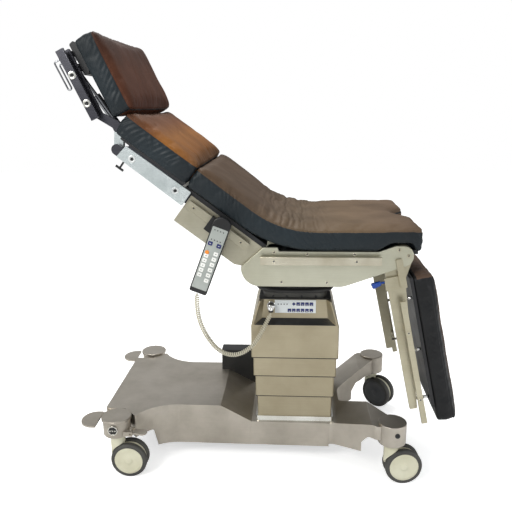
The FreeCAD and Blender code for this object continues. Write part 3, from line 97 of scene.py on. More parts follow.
def ringFaces(rings, points):
    # four-sided faces between each ring of points and the next, closed round the ring
    row = np.arange(rings - 1)[:, None] * points
    here = np.arange(points)[None, :]
    following = (here + 1) % points
    return np.stack([row + here, row + following, row + points + following, row + points + here], -1).reshape(-1, 4)


def gridFaces(rows, columns):
    # four-sided faces of an open grid
    row = np.arange(rows - 1)[:, None] * columns
    here = np.arange(columns - 1)[None, :]
    return np.stack([row + here, row + here + 1, row + columns + here + 1, row + columns + here], -1).reshape(-1, 4)


def finePiece(piece, body, levels=0, bevel=0.0, replaced=()):
    if bevel > 0.0:
        rounding = piece.modifiers.new("edges", "BEVEL")
        rounding.width = bevel * 0.001
        rounding.segments = 2
        rounding.limit_method = "ANGLE"
    if levels:
        finer = piece.modifiers.new("smooth", "SUBSURF")
        finer.levels = finer.render_levels = levels
    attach(piece, body)
    if replaced:
        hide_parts(*replaced)
    return piece


def smoothNoise(x, y, seed):
    # random heights on a square lattice, joined by smooth steps; from -1 to 1
    lattice = np.random.default_rng(seed).random((128, 128)) * 2.0 - 1.0
    column, row = np.floor(x).astype(int), np.floor(y).astype(int)
    u, v = x - column, y - row
    u, v = u * u * (3.0 - 2.0 * u), v * v * (3.0 - 2.0 * v)
    low = lattice[column % 128, row % 128] * (1.0 - u) + lattice[(column + 1) % 128, row % 128] * u
    high = lattice[column % 128, (row + 1) % 128] * (1.0 - u) + lattice[(column + 1) % 128, (row + 1) % 128] * u
    return low * (1.0 - v) + high * v


def easeBetween(value, low, high):
    # smooth step from 0 at low to 1 at high
    share = np.clip((value - low) / (high - low), 0.0, 1.0)
    return share * share * (3.0 - 2.0 * share)


def creaseField(along, across, turn, length, spacing, seed, sharp=2.0):
    # thin creases where stretched noise crosses zero; 0 between them and -1 in a crease
    cosTurn, sinTurn = math.cos(turn), math.sin(turn)
    down = (along * cosTurn + across * sinTurn) / length
    over = (-along * sinTurn + across * cosTurn) / spacing
    wave = smoothNoise(down + 40.0, over + 0.6 * smoothNoise(down * 1.7 + 9.0, over * 0.5 + 5.0, seed + 1), seed)
    return -np.clip(1.0 - np.abs(wave) * 2.6, 0.0, 1.0) ** sharp


def pleatField(along, height, pitch, slant, seed):
    # slanted pleats: a sine wave along the seam, bent by slow noise and fading in and out along it
    bend = 2.4 * smoothNoise(along / 70.0, height / 45.0, seed)
    bend = bend + 1.4 * smoothNoise(along / 24.0, height / 60.0, seed + 1)
    wave = np.sin(2.0 * math.pi * (along + slant * height) / pitch + bend)
    fadeOut = 0.25 + 0.75 * easeBetween(smoothNoise(along / 38.0, height / 80.0, seed + 2), -0.5, 0.5)
    return wave * fadeOut


# Materials

def tone(red, green, blue):
    # screen colour from 0 to 255 to linear light
    value = np.array([red, green, blue]) / 255.0
    linear = np.where(value <= 0.04045, value / 12.92, ((value + 0.055) / 1.055) ** 2.4)
    return (*linear.tolist(), 1.0)


def addNode(tree, kind, values=None, **settings):
    node = tree.nodes.new("ShaderNode" + kind)
    for key, value in settings.items():
        setattr(node, key, value)
    for key, value in (values or {}).items():
        node.inputs[key].default_value = value
    return node


def newMaterial(name, **socket_shade):
    material = bpy.data.materials.new(name)
    material.use_nodes = True
    shader = material.node_tree.nodes["Principled BSDF"]
    for key, value in socket_shade.items():
        shader.inputs[key.replace("_", " ")].default_value = value
    return material, material.node_tree, shader


def objectNoise(tree, scale, detail=3.0, stretch=(1.0, 1.0, 1.0), turn=(0.0, 0.0, 0.0), roughness=0.5):
    place = addNode(tree, "TexCoord")
    mapping = addNode(tree, "Mapping", {"Scale": stretch, "Rotation": turn})
    noise = addNode(tree, "TexNoise", {"Scale": scale, "Detail": detail, "Roughness": roughness})
    tree.links.new(place.outputs["Object"], mapping.inputs["Vector"])
    tree.links.new(mapping.outputs["Vector"], noise.inputs["Vector"])
    return noise.outputs["Fac"]


def toneRamp(tree, source, stops):
    ramp = addNode(tree, "ValToRGB")
    elements = ramp.color_ramp.elements
    while len(elements) < len(stops):
        elements.new(0.5)
    for element, (position, colour) in zip(elements, stops):
        element.position = position
        element.color = colour
    tree.links.new(source, ramp.inputs["Fac"])
    return ramp.outputs["Color"]


def rangeOf(tree, source, low, high, fromLow=0.3, fromHigh=0.7):
    node = addNode(tree, "MapRange", {"From Min": fromLow, "From Max": fromHigh, "To Min": low, "To Max": high})
    tree.links.new(source, node.inputs["Value"])
    return node.outputs["Result"]


def multiplyTone(tree, base, source, low, high):
    # darkens or lightens a colour by a factor from low to high
    factor = rangeOf(tree, source, low, high)
    mix = addNode(tree, "Mix", data_type="RGBA", blend_type="MULTIPLY")
    mix.inputs["Factor"].default_value = 1.0
    tree.links.new(base, mix.inputs["A"])
    tree.links.new(factor, mix.inputs["B"])
    return mix.outputs["Result"]


def bumpFrom(tree, shader, source, strength, distance):
    bump = addNode(tree, "Bump", {"Strength": strength, "Distance": distance * 0.001})
    tree.links.new(source, bump.inputs["Height"])
    tree.links.new(bump.outputs["Normal"], shader.inputs["Normal"])


def brushedMetal(name, lightTone, darkTone, roughness=0.34, metallic=0.9, lean=0.0, smudgeSize=5.0):
    # long fine scratches along X, or along X turned by lean degrees about Y, and soft smudges of tone
    material, tree, shader = newMaterial(name, Metallic=metallic)
    smudge = objectNoise(tree, smudgeSize, 6.0, roughness=0.6)
    scratch = objectNoise(tree, 1.0, 3.0, stretch=(9.0, 900.0, 900.0), turn=(0.0, math.radians(lean), 0.0))
    colour = toneRamp(tree, smudge, [(0.36, darkTone), (0.62, lightTone)])
    colour = multiplyTone(tree, colour, scratch, 0.95, 1.04)
    tree.links.new(colour, shader.inputs["Base Color"])
    spread = addNode(tree, "Math", operation="ADD")
    tree.links.new(rangeOf(tree, smudge, roughness + 0.08, roughness - 0.06), spread.inputs[0])
    tree.links.new(rangeOf(tree, scratch, -0.03, 0.04), spread.inputs[1])
    tree.links.new(spread.outputs["Value"], shader.inputs["Roughness"])
    bumpFrom(tree, shader, scratch, 0.04, 0.1)
    return material


def mouldedPlastic(name, lightTone, darkTone, roughness=0.42, grainSize=900.0, bump=0.12):
    # fine moulded grain over slow changes of tone
    material, tree, shader = newMaterial(name)
    drift = objectNoise(tree, 9.0, 4.0)
    grain = objectNoise(tree, grainSize, 2.0)
    tree.links.new(toneRamp(tree, drift, [(0.3, darkTone), (0.7, lightTone)]), shader.inputs["Base Color"])
    tree.links.new(rangeOf(tree, drift, roughness + 0.08, roughness - 0.06), shader.inputs["Roughness"])
    bumpFrom(tree, shader, grain, bump, 0.12)
    return material


def leather(name, stops, roughness=0.36, grain=0.22, gloss=0.5):
    # coated fabric: tone follows the piece's own "share" attribute, over a pebbled grain
    material, tree, shader = newMaterial(name, Specular_IOR_Level=gloss)
    share = addNode(tree, "Attribute", attribute_name="share")
    cloud = objectNoise(tree, 7.0, 5.0)
    pebble = addNode(tree, "TexVoronoi", {"Scale": 520.0})
    place = addNode(tree, "TexCoord")
    tree.links.new(place.outputs["Object"], pebble.inputs["Vector"])
    base = toneRamp(tree, share.outputs["Fac"], stops)
    tree.links.new(multiplyTone(tree, base, cloud, 0.78, 1.22), shader.inputs["Base Color"])
    tree.links.new(rangeOf(tree, cloud, roughness + 0.08, roughness - 0.08), shader.inputs["Roughness"])
    bumpFrom(tree, shader, pebble.outputs["Distance"], grain, 0.35)
    return material


steelBase = brushedMetal("steelBase", tone(192, 185, 174), tone(168, 161, 150), 0.36)
# darker copy of the stainless for the column sleeves and console: painted shade for the dark floor reflected in their
# faces
steelColumnPaintedShade = brushedMetal("steelColumnPaintedShade", tone(176, 166, 142), tone(166, 156, 132), 0.42)
steelPlate = brushedMetal("steelPlate", tone(196, 195, 177), tone(184, 182, 163), 0.36)
steelBox = brushedMetal("steelBox", tone(190, 186, 168), tone(172, 167, 148), 0.38, lean=37.0)
steelRail = brushedMetal("steelRail", tone(212, 207, 190), tone(180, 172, 150), 0.3)
steelLeg = brushedMetal("steelLeg", tone(190, 184, 162), tone(172, 165, 142), 0.36, lean=-77.8)
brightTrim = brushedMetal("brightTrim", tone(240, 240, 234), tone(212, 210, 202), 0.2, metallic=1.0)
chrome = brushedMetal("chrome", tone(235, 235, 233), tone(200, 200, 198), 0.12, metallic=1.0)
aluminium = brushedMetal("aluminium", tone(232, 240, 240), tone(196, 205, 205), 0.3, lean=37.0, smudgeSize=14.0)
whiteRing = brushedMetal("whiteRing", tone(222, 225, 224), tone(196, 200, 200), 0.4, metallic=0.3)
darkBar = brushedMetal("darkBar", tone(92, 92, 98), tone(62, 62, 68), 0.3, lean=65.0)
darkSteel = brushedMetal("darkSteel", tone(112, 112, 110), tone(84, 84, 84), 0.3)
boardBlack = mouldedPlastic("boardBlack", tone(26, 27, 30), tone(18, 19, 21), 0.5)
boxBlack = mouldedPlastic("boxBlack", tone(30, 31, 32), tone(20, 21, 22), 0.45)
rubberBlack = mouldedPlastic("rubberBlack", tone(46, 45, 43), tone(26, 26, 26), 0.55, 600.0, 0.2)
apronGrey = mouldedPlastic("apronGrey", tone(72, 71, 66), tone(52, 51, 48), 0.6, 500.0, 0.2)
creamPlastic = mouldedPlastic("creamPlastic", tone(222, 220, 198), tone(196, 192, 166), 0.4)
tyreGrey = mouldedPlastic("tyreGrey", tone(78, 77, 73), tone(56, 55, 53), 0.6, 700.0, 0.2)
discGrey = mouldedPlastic("discGrey", tone(88, 90, 90), tone(64, 66, 68), 0.5, 700.0, 0.2)
blueGrip = mouldedPlastic("blueGrip", tone(34, 84, 176), tone(20, 54, 132), 0.25)
navyKey = mouldedPlastic("navyKey", tone(34, 42, 104), tone(24, 32, 84), 0.4)
whiteKey = mouldedPlastic("whiteKey", tone(238, 238, 234), tone(222, 222, 218), 0.42)
orangeKey = mouldedPlastic("orangeKey", tone(240, 140, 40), tone(224, 118, 30), 0.4)
panelGrey = mouldedPlastic("panelGrey", tone(216, 220, 220), tone(200, 205, 206), 0.42)
labelSilver = mouldedPlastic("labelSilver", tone(168, 173, 168), tone(148, 153, 149), 0.45)
# chrome darkened to grey for the head struts: painted shade standing in for the dark reflections that make them read
# grey
wireSteel = brushedMetal("wireSteel", tone(160, 162, 165), tone(120, 122, 126), 0.22, metallic=1.0)
handsetBlack = mouldedPlastic("handsetBlack", tone(24, 24, 25), tone(15, 15, 16), 0.35)
cordCream = mouldedPlastic("cordCream", tone(206, 201, 182), tone(182, 176, 156), 0.45)

cadFinish = {
    "base_chassis": darkBar, "base_cover_head": steelBase, "base_cover_middle": steelBase, "base_cover_arms": steelBase,
    "caster_collars": steelBase, "column_trim": brightTrim, "column_sleeve_lowest": steelColumnPaintedShade,
    "column_sleeve_low": steelColumnPaintedShade, "column_sleeve_middle": steelColumnPaintedShade, "column_sleeve_top": steelColumnPaintedShade,
    "console_housing": steelColumnPaintedShade, "console_fittings": panelGrey, "control_box": boxBlack, "lift_piston": chrome,
    "cord_plug": handsetBlack, "tilt_yoke": darkBar, "brake_pedals": steelBase, "release_pedal": steelBase,
    "seat_side_plates": steelPlate, "seat_rails": steelRail, "seat_frame": darkBar, "seat_board": boardBlack,
    "lower_back_frame": steelBox, "lower_back_rails": steelBox, "lower_back_board": boardBlack,
    "upper_back_plates": aluminium, "upper_back_frame": darkBar, "upper_back_board": boardBlack,
    "lock_knob_near": boxBlack, "lock_knob_far": boxBlack, "head_hinge_blocks": aluminium, "head_frame": darkBar,
    "head_rails": darkBar, "head_struts": wireSteel, "head_board": boardBlack, "leg_bar_near": steelLeg,
    "leg_bar_far": steelLeg, "leg_board_near": boardBlack, "leg_board_far": boardBlack, "leg_lever_near": blueGrip,
    "leg_lever_far": blueGrip, "handset": handsetBlack,
}
for corner in ("head_near", "head_far", "foot_near", "foot_far"):
    cadFinish["caster_housing_" + corner] = creamPlastic
for nodeName, material in cadFinish.items():
    for materialSlot in nodes[nodeName].material_slots:
        materialSlot.material = material
for nodeName in ("base_cover_head", "base_cover_middle", "base_cover_arms", "column_sleeve_lowest", "column_sleeve_low",
                 "column_sleeve_middle", "column_sleeve_top", "console_housing", "seat_side_plates", "seat_rails",
                 "upper_back_plates", "lower_back_frame", "leg_bar_near", "leg_bar_far", "head_rails",
                 "caster_collars"):
    joined = nodes[nodeName].modifiers.new("join", "WELD")
    joined.merge_threshold = 0.00002
    rounding = nodes[nodeName].modifiers.new("edges", "BEVEL")
    rounding.width = 0.0009
    rounding.segments = 2
    rounding.limit_method = "ANGLE"
    rounding.angle_limit = math.radians(35.0)
    rounding.harden_normals = True
print("finishes on the carried-over pieces:", len(cadFinish))


# Cushions

def gridLines(length, spacing, edge):
    # lines across a panel: closer together within the rounded edge, even between
    near = np.array([0.0, 0.1, 0.3, 0.6, 1.0]) * edge
    middle = np.linspace(edge, length - edge, max(2, round((length - 2.0 * edge) / spacing)) + 1)[1:-1]
    return np.concatenate([near, middle, length - near[::-1]]) - length / 2.0


def roundCorners(x, y, halfLong, halfWide, radius):
    # pulls each square corner of the plan in to a quarter circle, leaving the rest as it is
    p = np.clip((np.abs(x) - (halfLong - radius)) / radius, 0.0, 1.0)
    q = np.clip((np.abs(y) - (halfWide - radius)) / radius, 0.0, 1.0)
    inCorner = (p > 0.0) & (q > 0.0)
    newX = np.sign(x) * (halfLong - radius + radius * p * np.sqrt(1.0 - q * q / 2.0))
    newY = np.sign(y) * (halfWide - radius + radius * q * np.sqrt(1.0 - p * p / 2.0))
    return np.where(inCorner, newX, x), np.where(inCorner, newY, y)


def cushionShell(spec):
    # top panel and bottom panel on one grid, joined by a side band that follows their common outline
    long, wide, thick, edge = spec["long"], spec["wide"], spec["thick"], spec["edge"]
    linesLong = gridLines(long, spec["spacing"], edge)
    linesWide = gridLines(wide, spec["spacing"], edge)
    x, y = np.meshgrid(linesLong, linesWide, indexing="ij")
    rows, columns = x.shape
    fromEdge = np.minimum(long / 2.0 - np.abs(x), wide / 2.0 - np.abs(y))
    drop = edge - np.sqrt(np.clip(edge ** 2 - np.clip(edge - fromEdge, 0.0, edge) ** 2, 0.0, None))
    x, y = roundCorners(x, y, long / 2.0, wide / 2.0, spec["corner"])
    share = np.clip(1.0 - (2.0 * x / long) ** 4, 0.0, 1.0) * np.clip(1.0 - (2.0 * y / wide) ** 2, 0.0, 1.0)
    top = thick - drop + spec["crown"] * share
    bottom = drop * 0.8
    index = np.arange(rows * columns).reshape(rows, columns)
    loop = np.concatenate([index[:-1, 0], index[-1, :-1], index[:0:-1, -1], index[0, :0:-1]])
    bandHeights = np.linspace(thick - edge, edge * 0.8, spec["bandRows"] + 2)[1:-1]
    loopX, loopY = x.ravel()[loop], y.ravel()[loop]
    outX = loopX - np.clip(loopX, -(long / 2.0 - spec["corner"]), long / 2.0 - spec["corner"])
    outY = loopY - np.clip(loopY, -(wide / 2.0 - spec["corner"]), wide / 2.0 - spec["corner"])
    size = np.maximum(np.hypot(outX, outY), 1e-9)
    rise = (bandHeights - bandHeights.min()) / np.ptp(bandHeights)
    swell = spec["swell"] * np.sin(np.pi * np.clip(rise, 0.0, 1.0))[:, None]
    bandX = loopX[None, :] + outX / size * swell
    bandY = loopY[None, :] + outY / size * swell
    bandH = np.repeat(bandHeights[:, None], len(loop), 1)
    along = np.concatenate([x.ravel(), bandX.ravel(), x.ravel()])
    across = np.concatenate([y.ravel(), bandY.ravel(), y.ravel()])
    height = np.concatenate([top.ravel(), bandH.ravel(), bottom.ravel()])
    count = rows * columns
    bandStart, bottomStart = count, count + bandH.size
    rings = np.vstack([loop, bandStart + np.arange(bandH.size).reshape(len(bandHeights), -1), bottomStart + loop])
    following = np.roll(rings, -1, axis=1)
    bandFaces = np.stack([rings[:-1], following[:-1], following[1:], rings[1:]], -1).reshape(-1, 4)
    topFaces = gridFaces(rows, columns)
    faces = np.vstack([topFaces, bandFaces, bottomStart + topFaces[:, ::-1]])
    kind = np.concatenate([np.zeros(len(topFaces)), np.ones(len(bandFaces) + len(topFaces))]).astype(int)
    inset = fromEdge.ravel()[topFaces].mean(1)
    kind[:len(topFaces)] = inset < spec.get("blackEdge", 0.0)
    reach = along[faces].mean(1) + long / 2.0
    onEnd = (reach < spec.get("brownEnd", 0.0)) & (np.arange(len(faces)) < len(topFaces) + len(bandFaces))
    kind[onEnd] = 0
    held = np.concatenate([fromEdge.ravel() < 1.0, np.zeros(bandH.size, bool), np.ones(count, bool)])
    return along, across, height, faces, kind, held


def pointsOf(mesh):
    values = np.zeros(len(mesh.vertices) * 3)
    mesh.vertices.foreach_get("co", values)
    return values.reshape(-1, 3)


def setAttribute(mesh, name, values):
    attribute = mesh.attributes.get(name) or mesh.attributes.new(name, "FLOAT", "POINT")
    attribute.data.foreach_set("value", np.asarray(values, np.float32).ravel())


def readAttribute(mesh, name):
    values = np.zeros(len(mesh.vertices), np.float32)
    mesh.attributes[name].data.foreach_get("value", values)
    return values.astype(float)


def settleFabric(piece, held, cap, pressure=4.0, spare=-0.012):
    # blows the cushion up as cloth with its seam and underside held, and caps how far a point may move
    group = piece.vertex_groups.new(name="held")
    group.add(np.flatnonzero(held).tolist(), 1.0, "REPLACE")
    cloth = piece.modifiers.new("settle", "CLOTH")
    cloth.settings.quality = 4
    cloth.settings.mass = 0.25
    cloth.settings.use_pressure = True
    cloth.settings.uniform_pressure_force = pressure
    cloth.settings.vertex_group_mass = "held"
    cloth.settings.shrink_min = spare
    cloth.settings.effector_weights.gravity = 0.0
    cloth.point_cache.frame_start = 1
    cloth.point_cache.frame_end = 20
    scene = bpy.context.scene
    for step in range(1, 21):
        scene.frame_set(step)
    rest = pointsOf(piece.data)
    settled = pointsOf(piece.evaluated_get(bpy.context.evaluated_depsgraph_get()).data)
    piece.modifiers.remove(cloth)
    piece.vertex_groups.remove(group)
    scene.frame_set(1)
    move = settled - rest
    far = np.linalg.norm(move, axis=1, keepdims=True)
    limit = cap * 0.001
    move *= limit * np.tanh(far / limit) / np.maximum(far, 1e-9)
    piece.data.vertices.foreach_set("co", (rest + move).ravel())
    piece.data.update()
    print("settled", piece.name, "furthest move %.1f mm" % (np.linalg.norm(move, axis=1).max() * 1000.0))


def subdivided(piece):
    # applies one level of smooth subdivision and keeps the attributes
    finer = piece.modifiers.new("finer", "SUBSURF")
    finer.levels = finer.render_levels = 1
    evaluated = piece.evaluated_get(bpy.context.evaluated_depsgraph_get())
    mesh = bpy.data.meshes.new_from_object(evaluated, preserve_all_data_layers=True,
                                           depsgraph=bpy.context.evaluated_depsgraph_get())
    piece.modifiers.remove(finer)
    old = piece.data
    piece.data = mesh
    bpy.data.meshes.remove(old)
    mesh.name = piece.name


def makeCushion(name, spec, place, materials, relief):
    # shell, cloth settling, one subdivision, then folds pushed along the surface normal
    along, across, height, faces, kind, held = cushionShell(spec)
    along = along + spec["long"] / 2.0
    across = across + spec["middle"]
    under = spec.get("under")
    if under is not None:
        height = height + under(along, across) * (1.0 - np.clip(height / spec["thick"], 0.0, 1.0)) ** 1.5
    run = along
    scoop = spec.get("scoop")
    if scoop is not None:
        run = along + scoop(along, across)
    piece = putMesh(name, place(run, across, height), faces, materials, kind)
    setAttribute(piece.data, "along", along)
    setAttribute(piece.data, "across", across)
    setAttribute(piece.data, "height", height)
    setAttribute(piece.data, "share", along / spec["long"])
    closeMesh(piece.data, 0.00005)
    settleFabric(piece, held, spec["cap"])
    subdivided(piece)
    mesh = piece.data
    normals = np.zeros(len(mesh.vertices) * 3, np.float32)
    mesh.vertex_normals.foreach_get("vector", normals)
    push = relief(readAttribute(mesh, "along"), readAttribute(mesh, "across"), readAttribute(mesh, "height"))
    moved = pointsOf(mesh) + normals.reshape(-1, 3) * push[:, None] * 0.001
    mesh.vertices.foreach_set("co", moved.ravel())
    for extra in ("along", "across", "height"):
        mesh.attributes.remove(mesh.attributes[extra])
    mesh.polygons.foreach_set("use_smooth", np.ones(len(mesh.polygons), bool))
    mesh.update()
    print("cushion", name, len(mesh.polygons), "faces")
    return piece


def seamGroove(height, seamHeight, width=2.2, depth=1.3):
    # narrow sunk line round the cushion at the height of its seam, with a slight ridge above it
    line = -depth * np.exp(-((height - seamHeight) / width) ** 2)
    return line + 0.5 * depth * np.exp(-((height - seamHeight - 2.2 * width) / width) ** 2)


mainCushion = {
    "legEndX": 375.0, "seatMiddle": 807.5, "bendRadius": 350.0, "bendStartX": 65.37,
    "backEnd": 340.0, "backStart": 141.37,
    "thick": 75.0, "wide": 540.0, "edge": 14.0, "corner": 16.0, "crown": 3.0, "swell": 2.0, "spacing": 7.5,
    "bandRows": 8, "cap": 7.0, "fill": 0.8, "middle": 0.0, "scoopHalf": 95.0, "scoopDepth": 47.0,
}
# the leg end stands far enough back that the leg cushions clear it when they are raised
straightSeat = mainCushion["legEndX"] - mainCushion["bendStartX"]
bendLength = mainCushion["bendRadius"] * backAngle
mainCushion["long"] = straightSeat + bendLength + mainCushion["backEnd"] - mainCushion["backStart"]


def placeMain(run, across, height):
    # level seat, then an arc up over the hinge, then straight along the back
    lift = height - mainCushion["thick"] / 2.0
    turn = np.clip((run - straightSeat) / mainCushion["bendRadius"], 0.0, backAngle)
    level = np.minimum(run, straightSeat)
    rest = np.maximum(run - straightSeat - bendLength, 0.0)
    radius = mainCushion["bendRadius"] - lift
    x = mainCushion["legEndX"] - level - radius * np.sin(turn) - rest * math.cos(backAngle)
    z = mainCushion["seatMiddle"] + mainCushion["bendRadius"] - radius * np.cos(turn) + rest * math.sin(backAngle)
    return np.stack([x, across, z], -1)


def mainScoop(along, across):
    # rounded bay in the leg end, faded out towards the middle of the seat
    bay = np.clip(1.0 - (across / mainCushion["scoopHalf"]) ** 2, 0.0, 1.0)
    return mainCushion["scoopDepth"] * bay * np.clip(1.0 - along / 190.0, 0.0, 1.0) ** 2


def mainUnder(along, across):
    # the underside is lifted over the hump of the side plate
    x = mainCushion["legEndX"] - along
    hump = easeBetween(x, 238.0, 292.0) * (1.0 - easeBetween(x, 344.0, 362.0))
    return (25.0 * hump + 3.0) * easeBetween(np.abs(across), 222.0, 234.0)


def mainRelief(along, across, height):
    # wrinkles on the side band round the bend, ridges across the top of the bend, and a seam
    thick = mainCushion["thick"]
    onTop = easeBetween(height, thick - 9.0, thick - 3.0)
    onBand = (1.0 - onTop) * easeBetween(height, 2.0, 8.0)
    bendBand = 0.35 + 0.65 * easeBetween(along, 190.0, 300.0) * (1.0 - easeBetween(along, 600.0, 690.0))
    slanted = 2.5 * pleatField(along, height, 14.0, -0.75, 11) * (0.3 + 0.7 * easeBetween(height, 15.0, 55.0))
    slanted += 2.4 * creaseField(along, height * 1.4, 0.9, 90.0, 15.0, 14, 1.8)
    slanted += 1.0 * smoothNoise(along / 40.0, height / 34.0, 17)
    bendTop = easeBetween(along, 250.0, 330.0) * (1.0 - easeBetween(along, 470.0, 560.0))
    ridges = 3.4 * creaseField(across, along, 0.05, 170.0, 16.0, 21, 1.3) * bendTop
    ridges += 2.6 * smoothNoise(along / 15.0, across / 80.0, 22) * bendTop
    ridges += 1.6 * creaseField(across, along, 0.5, 130.0, 36.0, 23) * (0.3 + 0.7 * bendTop)
    ridges += 1.0 * smoothNoise(along / 50.0, across / 60.0, 24)
    return onBand * bendBand * slanted + onTop * ridges + seamGroove(height, thick - 12.0)


sideBlack = leather("sideBlack", [(0.0, tone(24, 30, 34)), (0.5, tone(28, 37, 42)), (1.0, tone(26, 33, 37))], 0.52,
                    gloss=0.28)
legBlack = leather("legBlack", [(0.0, tone(20, 21, 23)), (1.0, tone(16, 17, 19))], 0.46, gloss=0.28)
seatTop = leather("seatTop", [(0.0, tone(96, 78, 62)), (0.3, tone(101, 83, 63)), (0.5, tone(88, 73, 56)),
                              (0.75, tone(84, 68, 54)), (1.0, tone(78, 60, 44))], 0.62, 0.16, 0.22)
mainCushion["scoop"] = mainScoop
mainCushion["under"] = mainUnder
cushion = makeCushion("main_cushion", mainCushion, placeMain, [seatTop, sideBlack], mainRelief)
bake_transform(cushion)
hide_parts("seat_pad", "bend_pad", "lower_back_pad")

sectionPads = {
    "upper_back_cushion": {
        "section": "back", "start": 343.0, "bottom": 40.0, "long": 256.0, "wide": 540.0, "thick": 74.0, "middle": 0.0,
        "slant": 0.6, "pleat": 1.0,
        # the gold band peaking about 0.45 of the way along this top is a painted sheen over the brown leather
        "tops": [(0.0, tone(92, 64, 40)), (0.18, tone(122, 78, 36)), (0.45, tone(134, 86, 36)),
                 (0.7, tone(104, 64, 36)), (1.0, tone(76, 48, 32))], "side": sideBlack,
        "body": "upper_back", "slot": "cushion_back", "replaced": ["upper_back_pad"], "seed": 31, "gather": 1.6,
    },
    "head_cushion": {
        "section": "head", "start": 30.0, "bottom": 8.0, "long": 237.0, "wide": 540.0, "thick": 69.0, "middle": 0.0,
        "slant": -0.9, "bends": ("head_hinge", "head"), "bendRun": (30.0, 105.0), "bendHeight": 42.0, "pleat": 1.0,
        "tops": [(0.0, tone(74, 40, 24)), (0.5, tone(78, 44, 27)), (1.0, tone(52, 30, 20))], "side": sideBlack,
        "slot": "cushion_head", "replaced": ["head_pad"], "seed": 41, "gather": 0.6,
    },
}
for padSide, padMiddle, padSeed in (("near", -136.5, 51), ("far", 136.5, 61)):
    sectionPads["leg_cushion_" + padSide] = {
        "section": "leg", "start": 69.0, "bottom": 17.0, "long": 491.0, "wide": 267.0, "thick": 60.0,
        "middle": padMiddle, "slant": 0.4, "pleat": 0.25, "blackEdge": 12.0, "brownEnd": 9.0,
        "tops": [(0.0, tone(88, 70, 58)), (0.15, tone(74, 58, 48)), (1.0, tone(52, 42, 36))], "side": legBlack,
        "body": "leg_" + padSide, "slot": "cushion_leg", "replaced": ["leg_pad_" + padSide], "seed": padSeed,
        "gather": 0.4,
    }
sectionPadForm = {"edge": 13.0, "corner": 20.0, "crown": 4.0, "swell": 2.0, "spacing": 7.5, "bandRows": 8, "cap": 7.0,
                  "fill": 0.8}


def padRelief(spec):
    # gathered folds near both ends of the top, slanted wrinkles on the side band, and a seam
    def relief(along, across, height):
        seed, thick = spec["seed"], spec["thick"]
        onTop = easeBetween(height, thick - 9.0, thick - 3.0)
        onBand = (1.0 - onTop) * easeBetween(height, 2.0, 8.0)
        slanted = 1.1 * spec["pleat"] * pleatField(along + across, height, 17.0, spec["slant"], seed)
        slanted += 1.3 * creaseField(along + across, height * 1.4, 0.95, 90.0, 16.0, seed + 3, 2.0)
        nearEnd = np.exp(-((along - spec["long"]) / 60.0) ** 2) + 0.6 * np.exp(-(along / 50.0) ** 2)
        folds = 2.6 * creaseField(along, across, 0.15, 90.0, 26.0, seed + 4, 1.4) * nearEnd * spec["gather"]
        folds += 1.3 * creaseField(along, across, 0.5, 140.0, 60.0, seed + 5) * spec["gather"]
        folds += 1.2 * smoothNoise(along / 55.0, across / 50.0, seed + 6)
        return onBand * slanted + onTop * folds + seamGroove(height, thick - 11.0)
    return relief


for padName, padSpec in sectionPads.items():
    padSpec.update(sectionPadForm)

    def placePad(along, across, height, spec=padSpec):
        return placeIn(spec["section"], spec["start"] + along, across, spec["bottom"] + height)

    topLeather = leather(padName + "Top", padSpec["tops"], 0.62, 0.16, 0.22)
    pad = makeCushion(padName, padSpec, placePad, [topLeather, padSpec["side"]], padRelief(padSpec))
    if "bends" in padSpec:
        # the end points of a bend beside the hinge are worked out but not used; the pad is baked where it was built and
        # joins no body
        bendFrom, bendTo = [tuple(placeIn(padSpec["section"], run, 0.0, padSpec["bendHeight"]) * 0.001)
                            for run in padSpec["bendRun"]]
        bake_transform(pad)
        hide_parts(*padSpec["replaced"])
    else:
        finePiece(pad, padSpec["body"], replaced=padSpec["replaced"])


# Small hardware

def turnedForm(profile, count):
    # profile of radius and height turned round its axis; poles close where the radius is 0
    radius, height = np.array(profile, float).T
    angle = np.linspace(0.0, 2.0 * math.pi, count, endpoint=False)
    points = np.stack([radius[:, None] * np.cos(angle), radius[:, None] * np.sin(angle),
                       np.repeat(height[:, None], count, 1)], -1)
    return points.reshape(-1, 3), ringFaces(len(profile), count)


def plateForm(width, length, depth, corner, edge, dome=0.0, sink=0.6):
    # rounded rectangle carried up its side, over a rounded edge and in to its middle line
    cornerAngles = np.linspace(0.0, math.pi / 2.0, 5)
    angles = (np.arange(4)[:, None] * math.pi / 2.0 + cornerAngles[None, :]).ravel()
    signX = np.repeat([1.0, -1.0, -1.0, 1.0], 5)
    signY = np.repeat([1.0, 1.0, -1.0, -1.0], 5)
    deepest = min(width, length) / 2.0
    inset = np.array([deepest, 0.0, 0.0, 0.3 * edge, edge, 0.5 * (edge + deepest), deepest])
    height = np.array([-sink, -sink, depth - edge, depth - 0.3 * edge, depth, depth + 0.8 * dome, depth + dome])
    radius = np.maximum(corner - inset, 0.0)[:, None]
    keep = np.maximum(corner, inset)[:, None]
    x = signX * np.maximum(width / 2.0 - keep, 0.0) + radius * np.cos(angles)
    y = signY * np.maximum(length / 2.0 - keep, 0.0) + radius * np.sin(angles)
    points = np.stack([x, y, np.repeat(height[:, None], len(angles), 1)], -1)
    return points.reshape(-1, 3), ringFaces(len(inset), len(angles))


def stampForm(name, form, origins, right, up, out, material, body, slotName):
    # the same small form set down at every origin, with its own right, up and outward directions
    points, faces = form
    axes = np.array([right, up, out], float)
    origins = np.array(origins, float).reshape(-1, 3)
    placed = points @ axes
    everyPoint = (origins[:, None, :] + placed[None, :, :]).reshape(-1, 3)
    everyFace = (faces[None, :, :] + (np.arange(len(origins)) * len(points))[:, None, None]).reshape(-1, 4)
    piece = putMesh(name, everyPoint, everyFace, [material], merge=0.01)
    return finePiece(piece, body)


